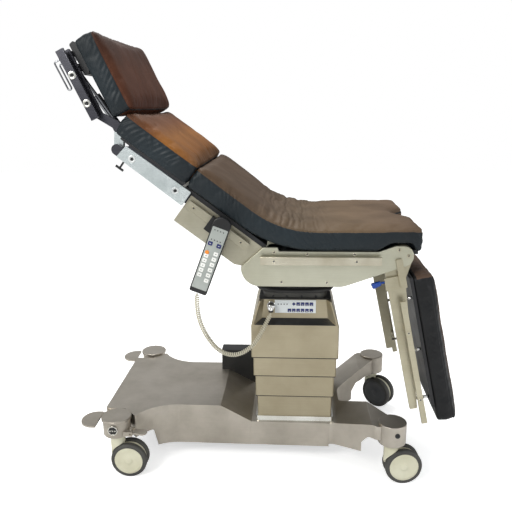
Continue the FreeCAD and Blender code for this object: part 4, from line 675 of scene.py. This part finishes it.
screwForm = turnedForm([(0.0, -1.0), (5.4, -1.0), (5.4, 1.2), (4.8, 1.9), (3.2, 2.0), (2.9, 0.8), (0.0, 0.6)], 24)
# dark plug sitting in the recess of each screw head: painted shade for the hollow of its hex socket
socketShadeForm = turnedForm([(0.0, -0.5), (2.9, -0.5), (2.9, 1.25), (2.3, 1.4), (0.0, 1.1)], 12)
boltForm = turnedForm([(0.0, -1.0), (4.4, -1.0), (4.4, 2.6), (3.9, 3.2), (2.2, 3.4), (2.0, 1.6), (0.0, 1.6)], 24)
washerForm = turnedForm([(0.0, -0.5), (11.5, -0.5), (11.5, 1.2), (10.7, 1.9), (5.4, 2.0), (5.0, 1.2), (0.0, 1.2)], 40)
sideAxes = {"near": ((1.0, 0.0, 0.0), (0.0, 0.0, 1.0), (0.0, -1.0, 0.0)),
            "far": ((-1.0, 0.0, 0.0), (0.0, 0.0, 1.0), (0.0, 1.0, 0.0))}

# per body: section, along, lift, half distance from the middle, form and material
hardware = {
    "seat": [("seat", -64.0, 746.0, 285.0, screwForm), ("seat", 182.0, 746.0, 285.0, screwForm),
             ("seat", -42.0, 675.0, 262.0, screwForm), ("seat", 96.0, 674.0, 262.0, screwForm),
             ("seat", -64.0, 768.0, 262.0, screwForm), ("seat", 36.0, 762.5, 262.0, screwForm),
             ("seat", 177.0, 762.5, 262.0, screwForm), ("seat", 309.0, 777.0, 262.0, screwForm),
             ("seat", 338.0, 759.0, 262.0, screwForm)],
    "lower_back": [("back", 110.0, 0.0, 274.0, screwForm), ("back", 283.0, 0.0, 274.0, screwForm)],
    "upper_back": [("back", 358.0, 7.0, 262.0, boltForm), ("back", 514.0, 7.0, 262.0, boltForm)],
    "head": [("head", 98.6, -39.5, 272.0, boltForm), ("head", 184.5, -39.5, 272.0, boltForm)],
    "leg_near": [("leg", 235.0, -25.5, 285.0, screwForm), ("leg", 462.0, -25.5, 285.0, screwForm)],
    "leg_far": [("leg", 235.0, -25.5, 285.0, screwForm), ("leg", 462.0, -25.5, 285.0, screwForm)],
}
for body, entries in hardware.items():
    sides = [side for side in ("near", "far") if not body.startswith("leg") or body.endswith(side)]
    for side in sides:
        sign = -1.0 if side == "near" else 1.0
        for label, form, material in (("screws", screwForm, steelRail), ("bolts", boltForm, boxBlack)):
            spots = [placeIn(e[0], e[1], sign * e[3], e[2]) for e in entries if e[4] is form]
            if spots:
                stampForm("%s_%s_%s" % (body, label, side), form, spots, *sideAxes[side], material, body, "bright_trim")
            if spots and form is boltForm:
                ring = whiteRing if body == "upper_back" else brightTrim
                stampForm("%s_washers_%s" % (body, side), washerForm, spots, *sideAxes[side], ring, body, "bright_trim")
            # each screw gets a dark plug in its recess, painted shade for the socket's hollow
            if spots and form is screwForm:
                stampForm("%s_sockets_%s" % (body, side), socketShadeForm, spots, *sideAxes[side], darkSteel, body,
                          "panel_black")
print("screws and washers done")


# Casters

discFinish = {"head_near": creamPlastic, "head_far": creamPlastic, "foot_near": creamPlastic, "foot_far": discGrey}
casterSpots = {"head_near": (-587.0, -268.0, 0.0), "head_far": (-587.0, 268.0, 12.0),
               "foot_near": (314.0, -266.0, 6.0), "foot_far": (314.0, 266.0, -38.0)}
casterWheel = {"radius": 60.0, "thick": 20.0, "gap": 7.5, "trail": 38.0, "disc": 46.0, "hub": 11.0, "count": 64}


def wheelProfile(wheel):
    # from the axle out along the inner face, round the tread and back in over the dished disc
    radius, inner = wheel["radius"], wheel["gap"]
    outer = inner + wheel["thick"]
    tyre = [(0.0, inner), (wheel["disc"], inner), (radius - 5.0, inner), (radius - 1.4, inner + 1.4),
            (radius, inner + 5.0), (radius, outer - 6.0), (radius - 1.8, outer - 2.4), (radius - 6.0, outer - 0.4),
            (wheel["disc"] + 3.0, outer), (wheel["disc"] + 1.0, outer - 1.2)]
    disc = [(wheel["disc"], outer - 2.2), (wheel["disc"] - 1.6, outer - 0.8), (wheel["disc"] - 6.0, outer - 0.6),
            (wheel["disc"] - 12.0, outer - 2.4), (wheel["hub"] + 6.0, outer - 2.8), (wheel["hub"], outer - 1.4),
            (wheel["hub"] - 1.0, outer), (wheel["hub"] - 3.0, outer + 0.3), (0.0, outer + 0.3)]
    return tyre + disc, len(tyre)


def makeWheels(corner, spot, wheel):
    profile, tyreRows = wheelProfile(wheel)
    points, faces = turnedForm(profile, wheel["count"])
    ringOf = np.repeat(np.arange(len(profile) - 1), wheel["count"])
    kind = np.where(ringOf >= tyreRows - 1, 1, 0)
    # axle along Y at the origin, then out to the trail and round by the swivel angle
    outward = np.stack([points[:, 0], points[:, 2], points[:, 1]], -1)
    inward = outward * np.array([1.0, -1.0, 1.0])
    both = np.vstack([outward, inward]) + np.array([wheel["trail"], 0.0, wheel["radius"]])
    angle = math.radians(spot[2])
    turned = np.stack([both[:, 0] * math.cos(angle) - both[:, 1] * math.sin(angle) + spot[0],
                       both[:, 0] * math.sin(angle) + both[:, 1] * math.cos(angle) + spot[1], both[:, 2]], -1)
    everyFace = np.vstack([faces, faces + len(points)])
    piece = putMesh("wheels_" + corner, turned, everyFace, [tyreGrey, discFinish[corner]], np.tile(kind, 2),
                    merge=0.01)
    return finePiece(piece, "wheels_" + corner, replaced=["caster_wheels_" + corner])


for corner, spot in casterSpots.items():
    makeWheels(corner, spot, casterWheel)


# Caster collars: brake shaft socket and bolts

socketRing = turnedForm([(13.2, -4.0), (16.6, -4.0), (16.6, 1.2), (15.8, 2.0), (14.0, 2.0), (13.2, 1.2),
                         (13.2, -4.0)], 40)
socketDisc = turnedForm([(0.0, -3.0), (13.6, -3.0), (13.6, -0.4), (0.0, -0.4)], 32)
socketPin = turnedForm([(0.0, -1.0), (2.7, -1.0), (2.7, 1.6), (1.9, 2.6), (0.0, 2.9)], 16)
collarBolt = turnedForm([(0.0, -1.0), (8.2, -1.0), (8.2, 1.6), (7.2, 2.6), (4.2, 2.6), (3.8, 0.6), (0.0, 0.6)], 28)
for side, sign in (("near", -1.0), ("far", 1.0)):
    shaftEnd = (-587.0, sign * 316.6, 184.0)
    stampForm("shaft_ring_" + side, socketRing, [shaftEnd], *sideAxes[side], brightTrim, "brake_pedals", "pedal_steel")
    stampForm("shaft_disc_" + side, socketDisc, [shaftEnd], *sideAxes[side], boxBlack, "brake_pedals", "pedal_steel")
    stampForm("shaft_pins_" + side, socketPin, [(-587.0 + offset, sign * 317.0, 184.0) for offset in (-8.0, 0.0, 8.0)],
              *sideAxes[side], brightTrim, "brake_pedals", "pedal_steel")
    stampForm("collar_bolt_" + side, collarBolt, [(324.0, sign * 310.0, 186.0)], *sideAxes[side], boxBlack, "base",
              "collar_grey")

pinForm = turnedForm([(0.0, 0.0), (5.2, 0.0), (5.2, 0.86), (4.6, 1.0), (0.0, 1.0)], 20)
for side, sign in (("near", -1.0), ("far", 1.0)):
    direction, normal = np.array(sections["leg"][1]), np.array(sections["leg"][2])
    points, faces = pinForm
    for number, run in enumerate((138.0, 310.0, 476.0)):
        foot = -4.0 - 32.0 * (run - 76.0) / 432.0 + 0.6
        tall = points * np.array([1.0, 1.0, 6.4 - foot])
        lift = foot + tall[:, 2]
        placed = placeIn("leg", run + tall[:, 0], sign * 244.0 + tall[:, 1], lift)
        pin = putMesh("leg_pin_%s_%d" % (side, number + 1), placed, faces, [chrome], merge=0.01)
        finePiece(pin, "leg_" + side)
print("casters done")


# Bellows between the console and the seat

bellowsForm = {
    "halfX": 101.0, "halfY": 150.0, "sag": 8.0, "split": 664.0,
    "heights": [585.0, 598.0, 604.0, 609.0, 613.0, 618.0, 622.0, 625.0, 629.0, 634.0, 639.0, 643.0, 648.0, 653.0, 658.0,
                664.0, 669.0, 674.0, 680.0, 686.0, 691.0, 699.0],
    "outsets": [1.0, 3.0, 5.0, 3.0, 12.0, 25.0, 28.0, 25.0, 12.0, 9.0, 13.0, 17.0, 16.0, 8.0, 7.0, 14.0, 16.0, 9.0, 8.0,
                14.0, 12.0, 4.0],
}


def bellowsPart(name, low, high):
    # outline squarer at the foot, pushed out by a wavy profile up its height, each fold sagging towards its middle
    rows = np.linspace(low, high, int((high - low) / 1.5) + 1)
    outset = np.interp(rows, bellowsForm["heights"], bellowsForm["outsets"])
    angle = np.linspace(0.0, 2.0 * math.pi, 200, endpoint=False)
    power = 0.2 + 0.09 * easeBetween(rows, 600.0, 622.0)[:, None]
    planX = np.sign(np.cos(angle)) * np.abs(np.cos(angle)) ** power
    planY = np.sign(np.sin(angle)) * np.abs(np.sin(angle)) ** power
    x = planX * (bellowsForm["halfX"] + outset[:, None])
    y = planY * (bellowsForm["halfY"] + outset[:, None] * 0.45)
    loose = easeBetween(rows, 604.0, 618.0) * (1.0 - easeBetween(rows, 684.0, 699.0))
    sag = bellowsForm["sag"] * loose[:, None] * (1.0 - np.minimum(np.abs(planX), 1.0) ** 2)
    z = rows[:, None] - sag + 1.0 * smoothNoise(angle[None, :] * 3.0, rows[:, None] / 9.0, 71) * loose[:, None]
    points = np.stack([x, y, z], -1)
    onApron = np.repeat(rows[:-1] < 611.0, len(angle)).astype(int)
    piece = putMesh(name, points, ringFaces(len(rows), len(angle)), [rubberBlack, apronGrey], onApron, merge=0.001)
    wall = piece.modifiers.new("wall", "SOLIDIFY")
    wall.thickness = 0.002
    wall.offset = -1.0
    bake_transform(piece)
    return piece


lowerBellows = bellowsPart("bellows_lower", 585.0, bellowsForm["split"])
bellowsPart("bellows_upper", bellowsForm["split"], 699.0)
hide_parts("bellows")
flangeForm = plateForm(236.0, 318.0, 3.5, 14.0, 1.0, sink=0.3)
stampForm("bellows_flange", flangeForm, [(0.0, 0.0, 585.0)], (1.0, 0.0, 0.0), (0.0, 1.0, 0.0), (0.0, 0.0, 1.0),
          rubberBlack, "column_top", "bellows_black")
rivetForm = turnedForm([(0.0, -1.0), (4.2, -1.0), (4.2, 1.0), (3.2, 2.0), (0.0, 2.4)], 20)
stampForm("bellows_rivets", rivetForm, [(x, -152.4, 593.0) for x in (-72.0, -27.0, 22.0, 68.0)], *sideAxes["near"],
          boxBlack, "column_top", "bellows_black")
print("bellows done")


# Console keys and socket

consoleKeys = {"face": -161.0, "size": 11.4, "pitch": 14.3, "firstX": -18.2, "rowsZ": [569.8, 548.0]}
keyForm = plateForm(consoleKeys["size"], consoleKeys["size"], 1.3, 1.4, 0.4, 0.2)
lowKeys = [(consoleKeys["firstX"] + consoleKeys["pitch"] * i, consoleKeys["face"], consoleKeys["rowsZ"][1])
           for i in range(6)]
highKeys = [(consoleKeys["firstX"] + consoleKeys["pitch"] * i, consoleKeys["face"], consoleKeys["rowsZ"][0])
            for i in range(2, 6)]
stampForm("console_keys", keyForm, lowKeys + highKeys, *sideAxes["near"], navyKey, "column_top", "panel_black")
slant = math.sqrt(0.5)
diamondAxes = ((slant, 0.0, slant), (-slant, 0.0, slant), (0.0, -1.0, 0.0))
diamondSpot = [(consoleKeys["firstX"] + consoleKeys["pitch"], consoleKeys["face"], consoleKeys["rowsZ"][0])]
diamondForm = plateForm(8.6, 8.6, 1.3, 1.0, 0.4, 0.2)
stampForm("console_diamond_key", diamondForm, diamondSpot, *diamondAxes, navyKey, "column_top", "panel_black")
keyMark = plateForm(4.4, 1.6, 0.3, 0.4, 0.1, sink=0.2)
markSpots = [(x, consoleKeys["face"] - 1.45, z - 2.6) for x, y, z in lowKeys + highKeys]
stampForm("console_key_marks", keyMark, markSpots, *sideAxes["near"], whiteKey, "column_top", "panel_black")
lampForm = turnedForm([(0.0, -0.5), (1.9, -0.5), (1.9, 0.7), (1.2, 1.1), (0.0, 1.1)], 14)
stampForm("console_lamps", lampForm, [(-54.8 + 9.7 * i, consoleKeys["face"], 569.0) for i in range(4)],
          *sideAxes["near"], boxBlack, "column_top", "panel_black")
ringForm = turnedForm([(9.8, -1.0), (13.4, -1.0), (13.4, 1.0), (12.6, 1.8), (10.6, 1.8), (9.8, 1.0), (9.8, -1.0)], 36)
stampForm("socket_ring", ringForm, [(-78.0, -166.0, 566.0)], *sideAxes["near"], chrome, "column_top", "bright_trim")
plugCap = turnedForm([(0.0, -0.5), (10.6, -0.5), (10.6, 6.0), (10.2, 7.2), (8.6, 8.0), (6.0, 8.2), (5.6, 6.8),
                      (0.0, 6.8)], 36)
stampForm("plug_cap", plugCap, [(-78.0, -186.5, 566.0)], *sideAxes["near"], chrome, "column_top", "bright_trim")
sillPoints = np.array([
    (-132.0, -180.4, 503.6), (132.0, -180.4, 503.6), (107.0, -158.6, 520.4), (-107.0, -158.6, 520.4),
    (-132.0, -180.0, 502.6), (132.0, -180.0, 502.6), (107.0, -158.2, 519.4), (-107.0, -158.2, 519.4)])
sillFaces = [(0, 1, 2, 3), (7, 6, 5, 4), (4, 5, 1, 0), (5, 6, 2, 1), (6, 7, 3, 2), (7, 4, 0, 3)]
sill = putMesh("console_sill", sillPoints, sillFaces, [darkSteel], merge=0.01, smooth=False)
finePiece(sill, "column_top")
print("console done")


# Dark strips under the sleeves of the column: painted shade for the shadow line below each sleeve step

def frameRing(halfX, halfY, low, high, wall, corner):
    # rounded rectangle profile carried up the outside, over and down the inside
    angle = (np.arange(4)[:, None] * math.pi / 2.0 + np.linspace(0.0, math.pi / 2.0, 5)[None, :]).ravel()
    signX, signY = np.repeat([1.0, -1.0, -1.0, 1.0], 5), np.repeat([1.0, 1.0, -1.0, -1.0], 5)
    inset = np.array([0.0, 0.0, wall, wall, 0.0])[:, None]
    height = np.array([low, high, high, low, low])[:, None]
    x = signX * (halfX - corner) + (corner - inset) * np.cos(angle)
    y = signY * (halfY - corner) + (corner - inset) * np.sin(angle)
    return np.stack([x, y, height + 0.0 * x], -1), ringFaces(5, len(angle))


sleeveFeet = [("column_stage_1", 132.0, 170.0, 244.0), ("column_stage_2", 138.0, 175.0, 320.0),
              ("column_top", 144.0, 180.0, 388.0)]
for number, (body, halfX, halfY, foot) in enumerate(sleeveFeet):
    # a dark ring round the foot of each sleeve, painted shade where the sleeve steps out over the one below
    points, faces = frameRing(halfX - 0.9, halfY - 0.9, foot - 2.6, foot + 0.4, 3.0, 5.0)
    shade_strip = putMesh("column_shade_strip_%d" % (number + 1), points, faces, [boxBlack], merge=0.01)
    finePiece(shade_strip, body)
print("column strips done")


# Hand control

handsetPlace = {"footX": -294.0, "footZ": 654.0, "topX": -207.0, "topZ": 881.0, "face": -314.0, "width": 54.0}
rise = np.array([handsetPlace["topX"] - handsetPlace["footX"], 0.0, handsetPlace["topZ"] - handsetPlace["footZ"]])
handsetLength = float(np.linalg.norm(rise))
handsetUp = rise / handsetLength
handsetRight = np.cross(handsetUp, (0.0, -1.0, 0.0)) * -1.0
handsetRight = handsetRight if handsetRight[0] > 0.0 else -handsetRight
handsetOut = np.array([0.0, -1.0, 0.0])


def onHandset(across, up, out=0.0):
    foot = np.array([handsetPlace["footX"], handsetPlace["face"], handsetPlace["footZ"]])
    return foot + handsetRight * across + handsetUp * up + handsetOut * out


handsetAxes = (handsetRight, handsetUp, handsetOut)
facePlate = plateForm(47.0, 198.0, 0.8, 3.0, 0.3)
stampForm("handset_face", facePlate, [onHandset(0.0, 113.0)], *handsetAxes, labelSilver, "handset", "handset_black")
whiteForm = plateForm(13.5, 12.0, 1.5, 2.0, 0.5, 0.3)
whiteSpots = [onHandset(-13.0, 58.0 + 15.6 * i, 0.8) for i in range(5)]
whiteSpots += [onHandset(12.5, 47.0 + 17.4 * i, 0.8) for i in range(6)]
stampForm("handset_white_keys", whiteForm, whiteSpots, *handsetAxes, whiteKey, "handset", "handset_black")
markForm = plateForm(4.6, 1.5, 0.35, 0.4, 0.1, sink=0.2)
stampForm("handset_key_marks", markForm, [spot + handsetOut * 1.6 for spot in whiteSpots], *handsetAxes, tyreGrey,
          "handset", "handset_black")
navySpots = [onHandset(-14.0, 160.0, 0.8), onHandset(13.0, 160.0, 0.8)]
stampForm("handset_navy_keys", whiteForm, navySpots, *handsetAxes, navyKey, "handset", "handset_black")
stampForm("handset_navy_marks", markForm, [spot + handsetOut * 1.6 for spot in navySpots], *handsetAxes, whiteKey,
          "handset", "handset_black")
roundKey = turnedForm([(0.0, -0.5), (6.0, -0.5), (6.0, 1.2), (5.2, 1.8), (0.0, 2.0)], 28)
stampForm("handset_round_key", roundKey, [onHandset(-14.0, 131.0, 0.8)], *handsetAxes, orangeKey, "handset",
          "handset_black")
lampDot = turnedForm([(0.0, -0.5), (1.7, -0.5), (1.7, 0.5), (1.1, 0.9), (0.0, 0.9)], 12)
lampSpots = [onHandset(across, up, 0.8) for up in (173.0, 203.0) for across in (-14.5, -5.5, 3.5, 12.5)]
stampForm("handset_lamps", lampDot, lampSpots, *handsetAxes, boxBlack, "handset", "handset_black")
print("hand control done")


# Curly cord from the hand control to the plug

cordForm = {
    "route": [(-0.297, -0.301, 0.649), (-0.299, -0.301, 0.600), (-0.291, -0.296, 0.550), (-0.272, -0.287, 0.501),
              (-0.243, -0.274, 0.454), (-0.206, -0.258, 0.428), (-0.165, -0.241, 0.429), (-0.129, -0.224, 0.455),
              (-0.103, -0.207, 0.495), (-0.078, -0.184, 0.545)],
    "outside": 0.015, "wire": 0.0044, "pitch": 0.0066, "straight": 0.012, "perTurn": 18,
    "cuts": [0.0, 0.36, 0.58, 0.79, 1.0], "swayFrom": 0.24,
}


def routePoints(route):
    # points read from a smooth spline through the route's control points
    curve = bpy.data.curves.new("cordRoute", "CURVE")
    curve.dimensions = "3D"
    curve.resolution_u = 24
    spline = curve.splines.new("NURBS")
    spline.points.add(len(route) - 1)
    for point, place in zip(spline.points, route):
        point.co = (*place, 1.0)
    spline.order_u = 3
    spline.use_endpoint_u = True
    guide = bpy.data.objects.new("cordRoute", curve)
    mesh = bpy.data.meshes.new_from_object(guide)
    points = pointsOf(mesh)
    bpy.data.objects.remove(guide)
    bpy.data.meshes.remove(mesh)
    return points


def sweptTube(path, radius, sides, reference):
    # circles set square to the path, turned against one fixed direction so that they don't twist
    tangent = np.gradient(path, axis=0)
    tangent /= np.linalg.norm(tangent, axis=1, keepdims=True)
    side = np.cross(tangent, reference)
    side /= np.linalg.norm(side, axis=1, keepdims=True)
    over = np.cross(side, tangent)
    angle = np.linspace(0.0, 2.0 * math.pi, sides, endpoint=False)
    radius = np.broadcast_to(radius, len(path))[:, None, None]
    ring = np.cos(angle)[None, :, None] * side[:, None, :] + np.sin(angle)[None, :, None] * over[:, None, :]
    points = path[:, None, :] + ring * radius
    points = np.concatenate([np.repeat(path[:1, None, :], sides, 1), points, np.repeat(path[-1:, None, :], sides, 1)])
    return points.reshape(-1, 3), ringFaces(len(path) + 2, sides)


routeLine = routePoints(cordForm["route"])[::-1]
stations = np.concatenate([[0.0], np.cumsum(np.linalg.norm(np.diff(routeLine, axis=0), axis=1))])
cordLength = stations[-1]
turns = round((cordLength - 2.0 * cordForm["straight"]) / cordForm["pitch"])
steps = np.linspace(0.0, cordLength, turns * cordForm["perTurn"] + 1)
centre = np.stack([np.interp(steps, stations, routeLine[:, axis]) for axis in range(3)], -1)
tangents = np.gradient(centre, axis=0)
tangents /= np.linalg.norm(tangents, axis=1, keepdims=True)
planeNormal = np.array([0.47, -0.88, 0.0])
sideways = np.cross(tangents, planeNormal)
sideways /= np.linalg.norm(sideways, axis=1, keepdims=True)
upwards = np.cross(sideways, tangents)
fade = easeBetween(steps, 0.0, cordForm["straight"]) * (1.0 - easeBetween(steps, cordLength - cordForm["straight"],
                                                                         cordLength))
coilRadius = (cordForm["outside"] - cordForm["wire"]) / 2.0 * fade
phase = 2.0 * math.pi * turns * steps / cordLength
helix = centre + coilRadius[:, None] * (np.cos(phase)[:, None] * sideways + np.sin(phase)[:, None] * upwards)
cordBodies = [("column_top", "tilt_yoke"), ("tilt_yoke", "seat"), ("seat", "lower_back"), ("lower_back", "handset")]
for part, (bodyA, bodyB) in enumerate(cordBodies):
    first = int(cordForm["cuts"][part] * (len(helix) - 1))
    last = int(cordForm["cuts"][part + 1] * (len(helix) - 1))
    wirePoints, wireFaces = sweptTube(helix[first:last + 1] * 1000.0, cordForm["wire"] * 500.0, 8, planeNormal)
    cordPart = putMesh("curly_cord_%d" % (part + 1), wirePoints, wireFaces, [cordCream], merge=0.001)
    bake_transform(cordPart)
    if part == 0:
        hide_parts("curly_cord")
print("cord length %.0f mm, %d turns" % (cordLength * 1000.0, turns))


# Studio

studio = {"floor": tone(246, 246, 245), "floorGlow": 0.55, "worldLow": 0.1, "worldHigh": 0.78,
          "lightFrom": (-0.5, -0.3, 0.81), "cameraPlace": (-0.005, -1.975, 1.195), "yaw": 3.81,
          "pitch": -14.32, "roll": -0.66, "focalPixels": 584.3, "framePixels": 512.0, "sensor": 36.0}


def makeWorld():
    # soft light, strongest from above on the camera's left, weakest from below on its right; plain white to the camera
    world = bpy.data.worlds.new("studioWorld")
    world.use_nodes = True
    tree = world.node_tree
    light = tree.nodes["Background"]
    place = addNode(tree, "TexCoord")
    facing = addNode(tree, "VectorMath", {1: studio["lightFrom"]}, operation="DOT_PRODUCT")
    strength = addNode(tree, "MapRange", {"From Min": -1.0, "From Max": 1.0, "To Min": studio["worldLow"],
                                          "To Max": studio["worldHigh"]})
    tree.links.new(place.outputs["Generated"], facing.inputs[0])
    tree.links.new(facing.outputs["Value"], strength.inputs["Value"])
    tree.links.new(strength.outputs["Result"], light.inputs["Strength"])
    light.inputs["Color"].default_value = tone(246, 248, 250)
    white = addNode(tree, "Background", {"Color": (1.0, 1.0, 1.0, 1.0), "Strength": 1.0})
    path = addNode(tree, "LightPath")
    choose = addNode(tree, "MixShader")
    tree.links.new(path.outputs["Is Camera Ray"], choose.inputs["Fac"])
    tree.links.new(light.outputs["Background"], choose.inputs[1])
    tree.links.new(white.outputs["Background"], choose.inputs[2])
    tree.links.new(choose.outputs["Shader"], tree.nodes["World Output"].inputs["Surface"])
    bpy.context.scene.world = world


def makeFloor():
    # pale matte floor with a little light of its own to the camera, so that it meets the white and keeps the shadow
    material, tree, shader = newMaterial("floorPale", Roughness=0.95, Specular_IOR_Level=0.1)
    dust = objectNoise(tree, 3.0, 2.0)
    tree.links.new(toneRamp(tree, dust, [(0.3, studio["floor"]), (0.7, tone(250, 250, 249))]),
                   shader.inputs["Base Color"])
    path = addNode(tree, "LightPath")
    glow = addNode(tree, "Math", {1: studio["floorGlow"]}, operation="MULTIPLY")
    tree.links.new(path.outputs["Is Camera Ray"], glow.inputs[0])
    tree.links.new(glow.outputs["Value"], shader.inputs["Emission Strength"])
    shader.inputs["Emission Color"].default_value = (1.0, 1.0, 1.0, 1.0)
    reach = 9000.0
    grid = np.array([(-reach, -reach, -0.2), (reach, -reach, -0.2), (reach, reach, -0.2), (-reach, reach, -0.2)])
    floor = putMesh("floor", grid, [(0, 1, 2, 3)], [material])


def addLamp(name, place, target, size, power, colour):
    data = bpy.data.lights.new(name, "AREA")
    data.size = size
    data.energy = power
    data.color = colour
    lamp = bpy.data.objects.new(name, data)
    bpy.context.scene.collection.objects.link(lamp)
    lamp.location = place
    lamp.rotation_euler = (Vector(target) - Vector(place)).to_track_quat("-Z", "Y").to_euler()


def makeCamera():
    yaw, pitch, roll = (math.radians(studio[key]) for key in ("yaw", "pitch", "roll"))
    forward = Vector((-math.sin(yaw) * math.cos(pitch), math.cos(yaw) * math.cos(pitch), math.sin(pitch)))
    level = Vector((math.cos(yaw), math.sin(yaw), 0.0))
    upright = level.cross(forward)
    right = level * math.cos(roll) + upright * math.sin(roll)
    up = right.cross(forward)
    data = bpy.data.cameras.new("photoCamera")
    data.sensor_width = studio["sensor"]
    data.lens = studio["focalPixels"] / studio["framePixels"] * studio["sensor"]
    camera = bpy.data.objects.new("photoCamera", data)
    bpy.context.scene.collection.objects.link(camera)
    turn = Matrix((right, up, -forward)).transposed().to_4x4()
    camera.matrix_world = Matrix.Translation(studio["cameraPlace"]) @ turn
    bpy.context.scene.camera = camera


makeWorld()
makeFloor()
addLamp("keyLamp", (-1.9, -2.6, 2.6), (-0.1, 0.0, 0.7), 1.1, 62.0, (1.0, 0.99, 0.96))
addLamp("sideLamp", (2.6, -1.6, 1.4), (0.1, 0.0, 0.5), 1.0, 22.0, (0.97, 0.98, 1.0))
addLamp("topLamp", (-0.5, 0.9, 3.2), (-0.2, 0.0, 0.8), 1.2, 45.0, (1.0, 0.98, 0.94))
makeCamera()
bpy.context.scene.view_settings.view_transform = "Standard"
